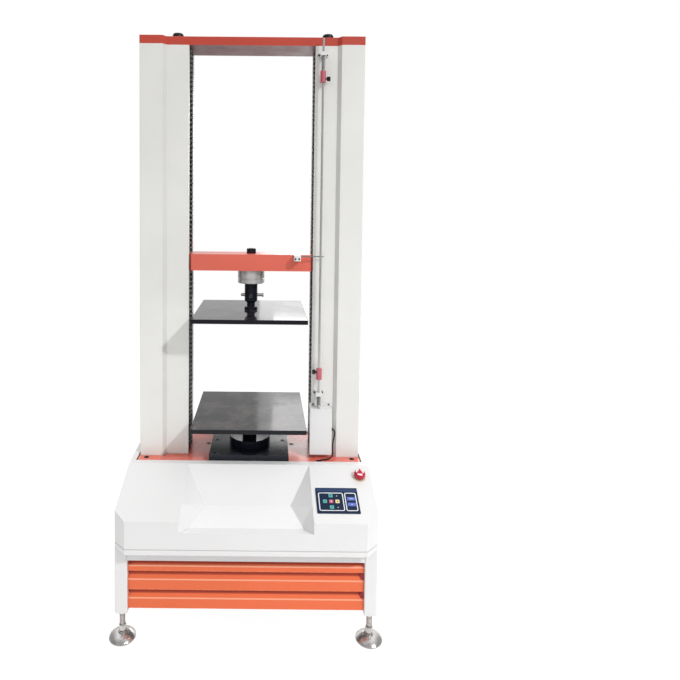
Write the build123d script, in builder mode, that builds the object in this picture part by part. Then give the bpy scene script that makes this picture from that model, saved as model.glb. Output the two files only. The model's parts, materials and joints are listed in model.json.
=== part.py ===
"""Twin-column universal testing machine: a load frame with square compression platens on a levelled stand.

Millimetres, +Z up. The origin is on the floor, under the middle of the footprint.
X runs across the two columns and +Y towards the back. Left is -X, seen from the front.
"""
import os
from math import atan2, cos, pi, radians, sin, sqrt, tan

from build123d import *

os.makedirs("parts", exist_ok=True)

# Fits and sheet
running_fit = 0.05
loose_fit = 0.3
sheet = 3.0
seam = 2.0
edge_break = 1.0
small_chamfer = 2.0

# Load axis and the test space
load_axis_y = 95.0
column_gap = 450.0
platen_size = 400.0
platen_thickness = 15.0
platen_edge = 0.8

# Stand and levelling feet
foot_pad_diameter = 85.0
foot_pad_height = 20.0
foot_rim_height = 5.0
foot_dome_share = 0.72
foot_neck_wall = 6.0
foot_neck_height = 5.0
foot_stem_diameter = 16.0
foot_stem_length = 150.0
lock_nut_width = 24.0
lock_nut_height = 9.0
leg_size = 40.0
leg_wall = 2.5
leg_corner = 4.0
leg_inset = 15.0
leg_end_plate = 10.0
leg_spacing_x = 800.0
leg_bottom_z = 92.0
leg_top_z = 308.0

# Louvred front panel of the stand
louvre_bottom_z = 105.0
louvre_pitch = 62.0
louvre_slope_height = 29.0
louvre_face_height = 33.0
louvre_rows = 2
louvre_depth = 15.0
louvre_recess = 10.0
louvre_sheet = 1.5

# Base housing
housing_width = 840.0
housing_front_y = -295.0
housing_rear_y = 275.0
housing_corner = 40.0
rim_z = 494.0
rim_front_y = -62.0
rim_strip = 23.0
crease_z = 415.0
lip_height = 16.0
lip_groove = 3.0
lip_groove_depth = 1.5

# Specimen tray sunk into the front of the housing
tray_width = 426.0
tray_back_y = -65.0
tray_lip_z = 380.0
tray_fold_width = 290.0
tray_fold_y = -157.0
tray_fold_z = 396.0
tray_trough_y = -252.5
tray_trough_z = 372.5
tray_crease_y = -231.0

# Base plate and the welded frame under it
plate_thickness = 28.0
plate_corner = 6.0
plate_top_z = 488.0
base_beam_width = 40.0
base_beam_wall = 4.0
base_beam_inset = 8.0
bearer_height = 50.0
bearer_spacing = 180.0

# Columns and top beam
column_width = 173.0
column_flat = 78.5
column_bevel = 13.0
column_front = 83.0
column_inner_front = 67.0
column_back = 77.0
slot_width = 100.0
top_beam_z = 1970.0
top_beam_thickness = 30.0
top_beam_chamfer = 1.5

# Screws and guide posts
screw_spacing = 548.0
screw_diameter = 32.0
screw_bottom_z = 338.0
journal_diameter = 25.0
top_journal_diameter = 20.0
bearing_diameter = 52.0
bearing_width = 20.0
top_bearing_diameter = 36.0
top_bearing_width = 14.0
bearing_boss_diameter = 96.0
bearing_boss_height = 45.0
post_spacing = 690.0
post_diameter = 40.0
cap_diameter = 40.0
cap_height = 27.0
cap_spigot = 8.0
cap_shoulder = 22.0
cap_bevel = 3.0

# Belt drive
screw_pulley_diameter = 100.0
drive_pulley_diameter = 60.0
pulley_flange = 3.0
pulley_flange_thickness = 2.0
belt_width = 20.0
belt_thickness = 3.0
belt_side_gap = 0.5
sync_belt_z = 350.0
drive_belt_z = 382.0
gearbox_size = 100.0
gearbox_height = 48.0
gearbox_corner = 8.0
gearbox_shaft_depth = 26.0
motor_diameter = 62.0
motor_length = 136.0
motor_fan_cover = 22.0
motor_fan_step = 3.0
motor_plate_gap = 1.0
drive_unit_length = 135.0
drive_unit_depth = 110.0
drive_unit_height = 70.0
drive_unit_gap = 20.0
fin_pitch = 15.0
fin_gap = 6.0
fin_depth = 8.0

# Crosshead and what hangs from it
crosshead_z = 1165.0
crosshead_height = 60.0
crosshead_depth = 120.0
crosshead_block_width = 438.0
crosshead_length = 756.0
crosshead_end_depth = 92.0
crosshead_corner = 4.0
nut_body_diameter = 48.0
nut_flange_diameter = 60.0
nut_flange_thickness = 10.0
bush_diameter = 56.0
load_cell_diameter = 100.0
load_cell_height = 50.0
load_cell_groove = 4.0
load_cell_groove_z = 15.0
load_bolt_diameter = 24.0
load_bolt_head_diameter = 35.0
load_bolt_head_height = 18.0
load_bolt_grip = 13.0
load_bolt_socket = 10.0
load_bolt_socket_depth = 9.0
sleeve_diameter = 48.0
sleeve_height = 73.0
sleeve_taper = 6.0
stem_diameter = 30.0
stem_engagement = 56.0
stem_neck_height = 16.0
stem_flange_diameter = 49.0
stem_flange_height = 12.0
stem_flange_chamfer = 3.0
pin_diameter = 12.0
pin_drop = 46.0
pin_left = 38.0
pin_right = 47.0
pin_head_diameter = 15.0
pin_head_length = 6.0

# Pleated covers over the column slots
pleat_pitch = 17.0
pleat_depth = 12.0
pleat_sheet = 1.2
pleat_margin = 2.0

# Lower table
adapter_width = 284.0
adapter_depth = 262.0
adapter_thickness = 25.0
adapter_bolt_edge = 18.5
pedestal_diameter = 152.0
pedestal_height = 25.0
pedestal_post_diameter = 50.0
pedestal_post_height = 79.0
bolt_head_diameter = 18.0
bolt_head_height = 5.0
bolt_shank_diameter = 10.0
bolt_shank_length = 18.0
bolt_socket_depth = 3.0
bolt_sink = 4.6
bolt_sink_gap = 0.6
plate_bolt_edge_x = 28.0
plate_bolt_edge_y = 35.0
table_bolt_gap = 16.0
table_bolt_y = 25.0

# Limit rod on the right column
rod_inset = 25.0
rod_diameter = 8.0
rod_standoff = 23.0
rod_top_z = 1992.0
rod_bottom_z = 642.0
rod_ring_diameter = 15.0
rod_ring_height = 3.0
bracket_width = 36.0
bracket_height = 12.0
bracket_plate = 4.0
bracket_reach = 11.0
upper_bracket_z = 1930.0
lower_bracket_z = 718.0
spring_diameter = 14.0
spring_wire = 1.8
spring_turns = 7
upper_spring_length = 50.0
lower_spring_length = 34.0
collar_diameter = 20.0
collar_height = 40.0
collar_screw_shift = 7.0
lower_collar_z = 778.0
collar_screw_diameter = 6.0
collar_knob_diameter = 16.0
collar_knob_length = 12.0
collar_knob_gap = 3.0
collar_knob_flutes = 12
collar_knob_flute_radius = 1.2
switch_box_width = 79.0
switch_box_inset = 31.5
switch_box_depth = 35.0
switch_box_bottom_z = 505.0
switch_box_height = 167.0
switch_box_flange = 12.0
switch_box_flange_thickness = 2.0
switch_box_rod_hole = 12.0
switch_box_rod_depth = 45.0
switch_box_corner = 2.0
cable_diameter = 5.0
cable_hole_diameter = 14.0
cable_hole_inset_x = 31.0
cable_hole_inset_y = 14.0
cable_exit_reach = 22.0
cable_exit_height = 89.0

# Finger on the crosshead that works the limit rod
finger_inset = 51.5
finger_drop = 3.0
finger_block_chamfer = 3.0
finger_block_width = 24.0
finger_block_height = 19.0
finger_block_drop = 7.0
finger_block_depth = 34.0
finger_diameter = 4.0
finger_reach = 12.0
finger_behind_rod = 9.0

# Keypad on the sloping front
keypad_side = 125.0
keypad_down_slope = 157.0
keypad_width = 138.0
keypad_height = 102.0
keypad_lift = 2.5
keypad_border = 4.0
keypad_corner = 2.0
keypad_body_depth = 9.0
key_size = 13.0
key_pitch_x = 20.2
key_pitch_y = 23.0
key_cross_x = -20.6
key_cross_y = -5.0
wide_key_length = 27.0
wide_key_height = 13.0
wide_key_x = 45.3
wide_key_y = -5.5
wide_key_pitch = 22.8
key_pocket = 5.0
key_proud = 1.2
key_travel = 0.8
key_corner = 1.5

# Emergency stop on the sloping front
stop_side = 38.0
stop_down_slope = 55.0
stop_head_diameter = 38.0
stop_head_height = 15.0
stop_head_round = 8.0
stop_lift = 7.5
stop_stem_diameter = 14.0
stop_collar_diameter = 42.0
stop_collar_height = 2.0
stop_collar_taper = 20.0
stop_barrel_diameter = 22.0
stop_barrel_length = 34.0
stop_nut_diameter = 30.0
stop_nut_height = 6.0

# Rear of the housing
vent_columns = 12
vent_rows = 2
vent_width = 6.0
vent_height = 44.0
vent_pitch_x = 16.0
vent_pitch_z = 60.0
vent_x = 180.0
inlet_x = -220.0
inlet_z = 370.0
inlet_width = 30.0
inlet_height = 24.0
inlet_depth = 22.0

# Places worked out from the sizes above
half_housing = housing_width / 2
rim_back_edge_y = rim_front_y + rim_strip
plate_half_x = half_housing - rim_strip + sheet
plate_front_y = rim_back_edge_y + seam
plate_half_depth = load_axis_y - plate_front_y
plate_rear_y = load_axis_y + plate_half_depth
plate_bottom_z = plate_top_z - plate_thickness
column_inner_x = column_gap / 2
column_outer_x = column_inner_x + column_width
beam_top_z = top_beam_z + top_beam_thickness
screw_x = screw_spacing / 2
post_x = post_spacing / 2
leg_x = leg_spacing_x / 2
leg_front_y = housing_front_y + housing_corner + leg_inset
leg_rear_y = -housing_front_y - foot_pad_diameter / 2
crosshead_top_z = crosshead_z + crosshead_height
load_cell_z = crosshead_z - load_cell_height
sleeve_z = load_cell_z - sleeve_height
stem_flange_z = sleeve_z - stem_neck_height - stem_flange_height
upper_platen_z = stem_flange_z - platen_thickness
pin_z = load_cell_z - pin_drop
adapter_top_z = plate_top_z + adapter_thickness
pedestal_top_z = adapter_top_z + pedestal_height + pedestal_post_height
column_face_y = load_axis_y - column_inner_front
rod_x = column_inner_x + rod_inset
rod_y = column_face_y - rod_standoff
switch_box_left = rod_x - switch_box_inset
finger_x = crosshead_block_width / 2 - finger_inset
keypad_x = half_housing - keypad_side
stop_x = half_housing - stop_side
slope_angle = atan2(rim_z - crease_z, rim_front_y - housing_front_y)
sides = (("left", -1), ("right", 1))


def save(piece, name):
    """Name a finished piece and write it."""
    piece.part.label = name
    export_step(piece.part, f"parts/{name}.step")


def upright(x, y):
    """The plane through (x, y) that faces the front, with its second axis straight up."""
    return Plane(origin=(x, y, 0), x_dir=(1, 0, 0), z_dir=(0, -1, 0))


def turned(x, y, outline):
    """Revolve a half outline of (radius, height) points about the upright line at (x, y)."""
    with BuildPart() as piece:
        with BuildSketch(upright(x, y)):
            with BuildLine():
                Polyline(*outline, close=True)
            make_face()
        revolve(axis=Axis((x, y, 0), (0, 0, 1)))
    return piece.part


def on_slope(x, down, lift=0.0):
    """The plane on the sloping front, with its second axis pointing up the slope."""
    y = rim_front_y - down * cos(slope_angle)
    z = rim_z - down * sin(slope_angle)
    normal = (0, -sin(slope_angle), cos(slope_angle))
    return Plane(origin=(x, y, z), x_dir=(1, 0, 0), z_dir=normal).offset(lift)


# Levelling feet: a turned pad on a threaded stem, one at each leg
leg_places = {
    "front_left": (-leg_x, leg_front_y),
    "front_right": (leg_x, leg_front_y),
    "rear_left": (-leg_x, leg_rear_y),
    "rear_right": (leg_x, leg_rear_y),
}
pad_radius = foot_pad_diameter / 2
stem_radius = foot_stem_diameter / 2
for place, (x, y) in leg_places.items():
    with BuildPart() as foot:
        with BuildSketch(upright(x, y)):
            with BuildLine():
                rim_top = (pad_radius, foot_rim_height)
                dome = (pad_radius * foot_dome_share, foot_pad_height * foot_dome_share)
                crown = (stem_radius + foot_neck_wall, foot_pad_height)
                neck_z = foot_pad_height + foot_neck_height
                Polyline((0, 0), (pad_radius - edge_break, 0), (pad_radius, edge_break), rim_top)
                ThreePointArc(rim_top, dome, crown)
                Polyline(
                    crown,
                    (stem_radius + foot_neck_wall, neck_z),
                    (stem_radius, neck_z + edge_break),
                    (stem_radius, foot_stem_length - small_chamfer),
                    (stem_radius - small_chamfer, foot_stem_length),
                    (0, foot_stem_length),
                    (0, 0),
                )
            make_face()
        revolve(axis=Axis((x, y, 0), (0, 0, 1)))
    save(foot, f"foot_{place}")

# Lock nuts that hold the stems against the leg ends
with BuildPart() as lock_nuts:
    with BuildSketch(Plane.XY.offset(leg_bottom_z - lock_nut_height)):
        with Locations(*leg_places.values()):
            RegularPolygon(lock_nut_width / sqrt(3), 6)
            Circle(stem_radius + running_fit, mode=Mode.SUBTRACT)
    extrude(amount=lock_nut_height)
save(lock_nuts, "foot_lock_nuts")

# Stand: four square tube legs with drilled end plates, and four rails round their tops
rail_z = leg_top_z - leg_size / 2
rail_run_y = leg_rear_y - leg_front_y - leg_size
with BuildPart() as stand:
    with BuildSketch(Plane.XY.offset(leg_bottom_z)):
        with Locations(*leg_places.values()):
            RectangleRounded(leg_size, leg_size, leg_corner)
    extrude(amount=leg_top_z - leg_bottom_z)
    with BuildSketch(Plane.XY.offset(leg_bottom_z + leg_end_plate)):
        with Locations(*leg_places.values()):
            RectangleRounded(leg_size - 2 * leg_wall, leg_size - 2 * leg_wall, leg_corner - leg_wall)
    extrude(amount=leg_top_z - leg_bottom_z - leg_end_plate, mode=Mode.SUBTRACT)
    with BuildSketch(Plane.XY.offset(leg_bottom_z)):
        with Locations(*leg_places.values()):
            Circle(stem_radius + running_fit)
    extrude(amount=leg_end_plate, mode=Mode.SUBTRACT)
with BuildPart() as cross_rails:
    with BuildSketch(Plane.YZ):
        with Locations((leg_front_y, rail_z), (leg_rear_y, rail_z)):
            Rectangle(leg_size, leg_size)
            Rectangle(leg_size - 2 * leg_wall, leg_size - 2 * leg_wall, mode=Mode.SUBTRACT)
    extrude(amount=leg_x - leg_size / 2, both=True)
with BuildPart() as side_rails:
    with BuildSketch(Plane.XZ.offset(-leg_front_y - leg_size / 2)):
        with Locations((-leg_x, rail_z), (leg_x, rail_z)):
            Rectangle(leg_size, leg_size)
            Rectangle(leg_size - 2 * leg_wall, leg_size - 2 * leg_wall, mode=Mode.SUBTRACT)
    extrude(amount=-rail_run_y)
stand_pieces = [*stand.part.solids(), *cross_rails.part.solids(), *side_rails.part.solids()]
stand_frame = Compound(children=stand_pieces)
stand_frame.label = "stand_frame"
export_step(stand_frame, "parts/stand_frame.step")

# Louvred panel: one folded sheet between the front legs
louvre_front_y = leg_front_y - leg_size / 2 + louvre_recess
louvre_back_y = louvre_front_y + louvre_depth
folds = [(louvre_back_y, louvre_bottom_z), (louvre_front_y, louvre_bottom_z)]
for row in range(louvre_rows):
    row_z = louvre_bottom_z + row * louvre_pitch
    folds.append((louvre_front_y, row_z + louvre_face_height))
    folds.append((louvre_back_y, row_z + louvre_pitch))
    folds.append((louvre_front_y, row_z + louvre_pitch))
top_face_z = louvre_bottom_z + louvre_rows * louvre_pitch + louvre_face_height / 2
folds.append((louvre_front_y, top_face_z))
folds.append((louvre_back_y, top_face_z + louvre_slope_height / 2))
with BuildPart() as louvre_panel:
    with BuildSketch(Plane.YZ):
        with BuildLine():
            Polyline(*folds)
        trace(line_width=louvre_sheet)
    extrude(amount=leg_x - leg_size / 2 - loose_fit, both=True)
save(louvre_panel, "louvre_panel")

# Welded base frame: two side beams on the stand rails and two bearers between them
beam_centre_x = half_housing - base_beam_inset - base_beam_width / 2
beam_height = plate_bottom_z - leg_top_z
beam_centre_z = leg_top_z + beam_height / 2
with BuildPart() as base_beams:
    with BuildSketch(Plane.XZ.offset(-load_axis_y)):
        with Locations((-beam_centre_x, beam_centre_z), (beam_centre_x, beam_centre_z)):
            Rectangle(base_beam_width, beam_height)
            inner_width = base_beam_width - 2 * base_beam_wall
            Rectangle(inner_width, beam_height - 2 * base_beam_wall, mode=Mode.SUBTRACT)
    extrude(amount=plate_half_depth - rim_strip / 2, both=True)
with BuildPart() as bearers:
    with BuildSketch(Plane.YZ):
        bearer_z = plate_bottom_z - bearer_height / 2
        front_bearer_y = load_axis_y - bearer_spacing / 2
        rear_bearer_y = load_axis_y + bearer_spacing / 2
        with Locations((front_bearer_y, bearer_z), (rear_bearer_y, bearer_z)):
            Rectangle(base_beam_width, bearer_height)
            inner_height = bearer_height - 2 * base_beam_wall
            Rectangle(base_beam_width - 2 * base_beam_wall, inner_height, mode=Mode.SUBTRACT)
    extrude(amount=beam_centre_x - base_beam_width / 2, both=True)
base_frame = Compound(children=[*base_beams.part.solids(), *bearers.part.solids()])
base_frame.label = "base_frame"
export_step(base_frame, "parts/base_frame.step")

# Bolt places on the adapter plate and on the base plate
adapter_bolts = []
adapter_bolt_x = adapter_width / 2 - adapter_bolt_edge
adapter_bolt_y = adapter_depth / 2 - adapter_bolt_edge
plate_bolt_x = plate_half_x - plate_bolt_edge_x
plate_bolt_y = plate_half_depth - plate_bolt_edge_y
table_bolt_x = adapter_width / 2 + table_bolt_gap
plate_bolts = []
for hand in (-1, 1):
    for bolt_y in (-adapter_bolt_y, 0, adapter_bolt_y):
        adapter_bolts.append((hand * adapter_bolt_x, load_axis_y + bolt_y))
    for bolt_y in (-plate_bolt_y, plate_bolt_y):
        plate_bolts.append((hand * plate_bolt_x, load_axis_y + bolt_y))
    plate_bolts.append((hand * table_bolt_x, load_axis_y + table_bolt_y))
shank_hole = bolt_shank_diameter / 2 + running_fit

# Cable route: out of the switch box, down its side and along the plate to a hole in it
cable_exit = Vector(
    switch_box_left + switch_box_width,
    column_face_y - cable_exit_reach,
    switch_box_bottom_z + cable_exit_height,
)
cable_hole = (switch_box_left + cable_hole_inset_x, plate_front_y + cable_hole_inset_y)
cable_end = Vector(*cable_hole, plate_top_z)
cable_drop = (
    (0.0, 0.0, 0.0),
    (6.0, 0.0, 0.0),
    (10.5, -0.2, -5.0),
    (12.5, -0.6, -16.0),
    (11.0, -1.0, -30.0),
    (7.0, -2.0, -43.0),
    (5.3, -3.5, -56.0),
    (5.3, -6.0, -70.0),
    (5.3, -9.5, -86.0),
    (2.0, -13.5, -97.0),
)
cable_run = (
    (34.5, 6.0, 6.0),
    (18.5, 2.5, 5.0),
    (6.5, 0.6, 4.0),
    (-0.5, -0.2, -1.5),
    (-2.5, 0.0, -10.0),
)
cable_route = [cable_exit + Vector(*step) for step in cable_drop]
cable_route += [cable_end + Vector(*step) for step in cable_run]

# Base plate with the screw bearing bosses welded under it
screw_places = [(-screw_x, load_axis_y), (screw_x, load_axis_y)]
boss_z = plate_bottom_z - bearing_boss_height
with BuildPart() as base_plate:
    with BuildSketch(Plane.XY.offset(plate_bottom_z)):
        with Locations((0, load_axis_y)):
            RectangleRounded(2 * plate_half_x, 2 * plate_half_depth, plate_corner)
    extrude(amount=plate_thickness)
    with BuildSketch(Plane.XY.offset(boss_z)):
        with Locations(*screw_places):
            Circle(bearing_boss_diameter / 2)
    extrude(amount=bearing_boss_height)
    with BuildSketch(Plane.XY.offset(boss_z)):
        with Locations(*screw_places):
            Circle(bearing_diameter / 2 + running_fit)
    extrude(amount=bearing_width + seam, mode=Mode.SUBTRACT)
    with BuildSketch(Plane.XY.offset(boss_z)):
        with Locations(*screw_places):
            Circle(journal_diameter / 2 + seam)
    extrude(amount=plate_top_z - boss_z, mode=Mode.SUBTRACT)
    with BuildSketch(Plane.XY.offset(plate_top_z)):
        with Locations(*plate_bolts):
            Circle(shank_hole)
        with Locations(*adapter_bolts):
            Circle(shank_hole)
        with Locations(cable_hole):
            Circle(cable_hole_diameter / 2)
    extrude(amount=-bolt_shank_length - bolt_head_height, mode=Mode.SUBTRACT)
    with BuildSketch(Plane.XY.offset(plate_top_z)):
        with Locations(*plate_bolts):
            Circle(bolt_head_diameter / 2 + bolt_sink_gap)
    extrude(amount=-bolt_sink, mode=Mode.SUBTRACT)
save(base_plate, "base_plate")


def cover_plan(inset, back_y):
    """The front cover seen from above: cut corners at the front, open at the back."""
    side_x = half_housing - inset
    front_y = housing_front_y + inset
    turn = inset * tan(pi / 8)
    corner_y = housing_front_y + housing_corner + turn
    corner_x = half_housing - housing_corner - turn
    right = [(corner_x, front_y), (side_x, corner_y), (side_x, back_y)]
    left = [(-px, py) for px, py in reversed(right)]
    return left + right


def cover_section(inset, bottom_z, back_y):
    """The front cover seen from its side: rim, slope and upright front."""
    drop = inset / cos(slope_angle)
    front_y = housing_front_y + inset
    slope_foot_z = crease_z + inset * tan(slope_angle) - drop
    slope_head_y = rim_front_y + inset * tan(slope_angle / 2)
    return [
        (back_y, bottom_z),
        (back_y, rim_z - inset),
        (slope_head_y, rim_z - inset),
        (front_y, slope_foot_z),
        (front_y, bottom_z),
    ]


def cover_form(inset, bottom_z, back_y):
    """The solid form of the front cover, drawn in from its outside by the inset."""
    with BuildPart() as form:
        with BuildSketch(Plane.XY.offset(bottom_z)):
            with BuildLine():
                Polyline(*cover_plan(inset, back_y), close=True)
            make_face()
        extrude(amount=rim_z - bottom_z)
        with BuildSketch(Plane.YZ):
            with BuildLine():
                Polyline(*cover_section(inset, bottom_z, back_y), close=True)
            make_face()
        extrude(amount=housing_width, both=True, mode=Mode.INTERSECT)
    return form.part


def tray_side(points, hand):
    """The plane of a tray side wall through three points, facing away from the tray."""
    a, b, c = [Vector(hand * point.X, point.Y, point.Z) for point in points]
    normal = (b - a).cross(c - a)
    outward = normal if normal.X * hand > 0 else -normal
    return Plane(origin=a, z_dir=outward)


def slope_height(y):
    """Height of the sloping front at a given depth."""
    return rim_z - (rim_front_y - y) * tan(slope_angle)


def tray_half(section, wall):
    """A part of the tray space: its section drawn along X and cut to the planes of its side walls."""
    with BuildPart() as half:
        with BuildSketch(Plane.YZ):
            with BuildLine():
                Polyline(*section, close=True)
            make_face()
        extrude(amount=tray_edge, both=True)
        for hand in (-1, 1):
            split(bisect_by=tray_side(wall, hand), keep=Keep.BOTTOM)
    return half.part


# Specimen tray: a folded hopper that opens through the slope and the upright front.
# Each side wall has a fold across it.
tray_edge = tray_width / 2
tray_fold = Vector(tray_fold_width / 2, tray_fold_y, tray_fold_z)
tray_back = Vector(tray_edge, tray_back_y, slope_height(tray_back_y))
tray_crease = Vector(tray_edge, tray_crease_y, slope_height(tray_crease_y))
tray_front = Vector(tray_edge, housing_front_y, tray_lip_z)
reach_out = 30.0
fold_point = (tray_fold_y, tray_fold_z)
fold_run = Vector(0, tray_crease_y - tray_fold_y, tray_crease.Z - tray_fold_z).normalized() * reach_out
fold_end = (tray_crease_y + fold_run.Y, tray_crease.Z + fold_run.Z)
front_reach_y = housing_front_y - reach_out
back_section = [
    (tray_back_y, tray_back.Z),
    fold_point,
    fold_end,
    (tray_back_y, tray_back.Z + reach_out),
]
front_section = [
    fold_point,
    (tray_trough_y, tray_trough_z),
    (housing_front_y, tray_lip_z),
    (front_reach_y, tray_lip_z),
    (front_reach_y, slope_height(front_reach_y) + reach_out),
    fold_end,
]
with BuildPart() as tray_space:
    add(tray_half(back_section, (tray_back, tray_crease, tray_fold)))
    add(tray_half(front_section, (tray_crease, tray_front, tray_fold)))

cover_outside = cover_form(0, leg_top_z, rim_back_edge_y)
cover_inside = cover_form(sheet, leg_top_z - 1, rim_back_edge_y + 1)
with BuildPart() as tray_skin:
    add(tray_space.part)
    offset(amount=sheet, kind=Kind.INTERSECTION)
    add(cover_outside, mode=Mode.INTERSECT)

stop_plane = on_slope(stop_x, stop_down_slope)
keypad_plane = on_slope(keypad_x, keypad_down_slope)
keypad_body = (keypad_width - 2 * keypad_border, keypad_height - 2 * keypad_border)
with BuildPart() as front_cover:
    add(cover_outside)
    add(cover_inside, mode=Mode.SUBTRACT)
    add(tray_skin.part)
    add(tray_space.part, mode=Mode.SUBTRACT)
    with BuildSketch(Plane.XY.offset(leg_top_z + lip_height)):
        with BuildLine():
            Polyline(*cover_plan(-1, rim_back_edge_y), close=True)
        make_face()
        with BuildLine():
            Polyline(*cover_plan(lip_groove_depth, rim_back_edge_y), close=True)
        make_face(mode=Mode.SUBTRACT)
    extrude(amount=lip_groove, mode=Mode.SUBTRACT)
    with BuildSketch(keypad_plane):
        Rectangle(keypad_body[0] + 2 * loose_fit, keypad_body[1] + 2 * loose_fit)
    extrude(amount=sheet * 2, both=True, mode=Mode.SUBTRACT)
    with BuildSketch(stop_plane):
        Circle(stop_barrel_diameter / 2 + loose_fit)
    extrude(amount=sheet * 2, both=True, mode=Mode.SUBTRACT)
save(front_cover, "front_cover")

# Side covers: a wall with a rim strip along its top
with BuildPart() as side_covers:
    with BuildSketch(Plane.XZ.offset(-rim_back_edge_y)):
        for hand in (-1, 1):
            with BuildLine():
                Polyline(
                    (hand * half_housing, leg_top_z),
                    (hand * half_housing, rim_z),
                    (hand * (plate_half_x + seam), rim_z),
                    (hand * (plate_half_x + seam), rim_z - sheet),
                    (hand * (half_housing - sheet), rim_z - sheet),
                    (hand * (half_housing - sheet), leg_top_z),
                    close=True,
                )
            make_face()
    extrude(amount=-(housing_rear_y - rim_back_edge_y))
save(side_covers, "side_covers")

# Rear cover: a wall with vent slots and the power inlet, and the deck behind the plate
deck_front_y = plate_rear_y + seam
with BuildPart() as rear_cover:
    with BuildSketch(Plane.XY.offset(leg_top_z)):
        with Locations((0, housing_rear_y - sheet / 2)):
            Rectangle(2 * (half_housing - sheet), sheet)
    extrude(amount=rim_z - sheet - leg_top_z)
    with BuildSketch(Plane.XY.offset(rim_z - sheet)):
        with Locations((0, (deck_front_y + housing_rear_y) / 2)):
            Rectangle(2 * (plate_half_x + seam), housing_rear_y - deck_front_y)
    extrude(amount=sheet)
    with BuildSketch(Plane.XZ.offset(-housing_rear_y)):
        with Locations((vent_x, (leg_top_z + rim_z) / 2)):
            with GridLocations(vent_pitch_x, vent_pitch_z, vent_columns, vent_rows):
                SlotOverall(vent_height, vent_width, rotation=90)
    extrude(amount=sheet, mode=Mode.SUBTRACT)
    with BuildSketch(Plane.XZ.offset(-housing_rear_y)):
        with Locations((inlet_x, inlet_z)):
            Rectangle(inlet_width + 2 * sheet, inlet_height + 2 * sheet)
    extrude(amount=inlet_depth + sheet)
    with BuildSketch(Plane.XZ.offset(-housing_rear_y)):
        with Locations((inlet_x, inlet_z)):
            Rectangle(inlet_width, inlet_height)
    extrude(amount=inlet_depth, mode=Mode.SUBTRACT)
save(rear_cover, "rear_cover")

# Motor drive unit hung under the plate, left of the gear motor
with BuildPart() as motor_drive:
    drive_unit_x = -(gearbox_size / 2 + drive_unit_length / 2 + drive_unit_gap)
    with BuildSketch(Plane.XY.offset(plate_bottom_z)):
        with Locations((drive_unit_x, load_axis_y)):
            Rectangle(drive_unit_length, drive_unit_depth)
    extrude(amount=-drive_unit_height)
    fins = faces().sort_by(Axis.Z)[0]
    with BuildSketch(fins):
        with GridLocations(fin_pitch, 0, int(drive_unit_length // fin_pitch) - 1, 1):
            Rectangle(fin_gap, drive_unit_depth)
    extrude(amount=-fin_depth, mode=Mode.SUBTRACT)
save(motor_drive, "motor_drive")

# Gear motor bolted under the plate: a right-angle gearbox with the motor along +X
gearbox_bottom_z = plate_bottom_z - gearbox_height
motor_z = plate_bottom_z - motor_diameter / 2 - motor_plate_gap
shaft_radius = top_journal_diameter / 2
with BuildPart() as drive_motor:
    with BuildSketch(Plane.XY.offset(gearbox_bottom_z)):
        with Locations((0, load_axis_y)):
            RectangleRounded(gearbox_size, gearbox_size, gearbox_corner)
    extrude(amount=gearbox_height)
    with BuildSketch(Plane.YZ.offset(gearbox_size / 2)):
        with Locations((load_axis_y, motor_z)):
            Circle(motor_diameter / 2)
    extrude(amount=motor_length)
    with BuildSketch(Plane.YZ.offset(gearbox_size / 2 + motor_length)):
        with Locations((load_axis_y, motor_z)):
            Circle(motor_diameter / 2 - motor_fan_step)
    extrude(amount=motor_fan_cover)
    with BuildSketch(Plane.XY.offset(gearbox_bottom_z)):
        with Locations((0, load_axis_y)):
            Circle(shaft_radius + running_fit)
    extrude(amount=gearbox_shaft_depth + seam, mode=Mode.SUBTRACT)
save(drive_motor, "drive_motor")


def pulley_outline(radius, bottom_z):
    """Half outline of a flanged pulley rim, from its lower to its upper flange."""
    lower_z = bottom_z + pulley_flange_thickness
    upper_z = lower_z + belt_width + 2 * belt_side_gap
    top_z = upper_z + pulley_flange_thickness
    flange = radius + pulley_flange
    return [
        (flange, bottom_z),
        (flange, lower_z),
        (radius, lower_z),
        (radius, upper_z),
        (flange, upper_z),
        (flange, top_z),
    ]


# Drive pulley on the gearbox shaft
drive_rim = pulley_outline(drive_pulley_diameter / 2, drive_belt_z - pulley_flange_thickness)
drive_shaft = [
    (shaft_radius, drive_rim[-1][1]),
    (shaft_radius, gearbox_bottom_z + gearbox_shaft_depth),
    (0, gearbox_bottom_z + gearbox_shaft_depth),
]
with BuildPart() as drive_pulley:
    add(turned(0, load_axis_y, [(0, drive_rim[0][1])] + drive_rim + drive_shaft))
save(drive_pulley, "drive_pulley")


def belt(places, bottom_z):
    """A closed belt round pulleys given as (x, radius) on the load axis line."""
    with BuildPart() as loop:
        with BuildSketch(Plane.XY.offset(bottom_z)):
            for x, radius in places:
                with Locations((x, load_axis_y)):
                    Circle(radius + loose_fit + belt_thickness)
            make_hull()
        extrude(amount=belt_width)
        with BuildSketch(Plane.XY.offset(bottom_z)):
            for x, radius in places:
                with Locations((x, load_axis_y)):
                    Circle(radius + loose_fit)
            make_hull()
        extrude(amount=belt_width, mode=Mode.SUBTRACT)
    return loop


# Belts: gearbox to the right screw, and one screw to the other
screw_pulley_radius = screw_pulley_diameter / 2
drive_places = [(0, drive_pulley_diameter / 2), (screw_x, screw_pulley_radius)]
sync_places = [(-screw_x, screw_pulley_radius), (screw_x, screw_pulley_radius)]
save(belt(drive_places, drive_belt_z + belt_side_gap), "drive_belt")
save(belt(sync_places, sync_belt_z + belt_side_gap), "sync_belt")

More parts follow.
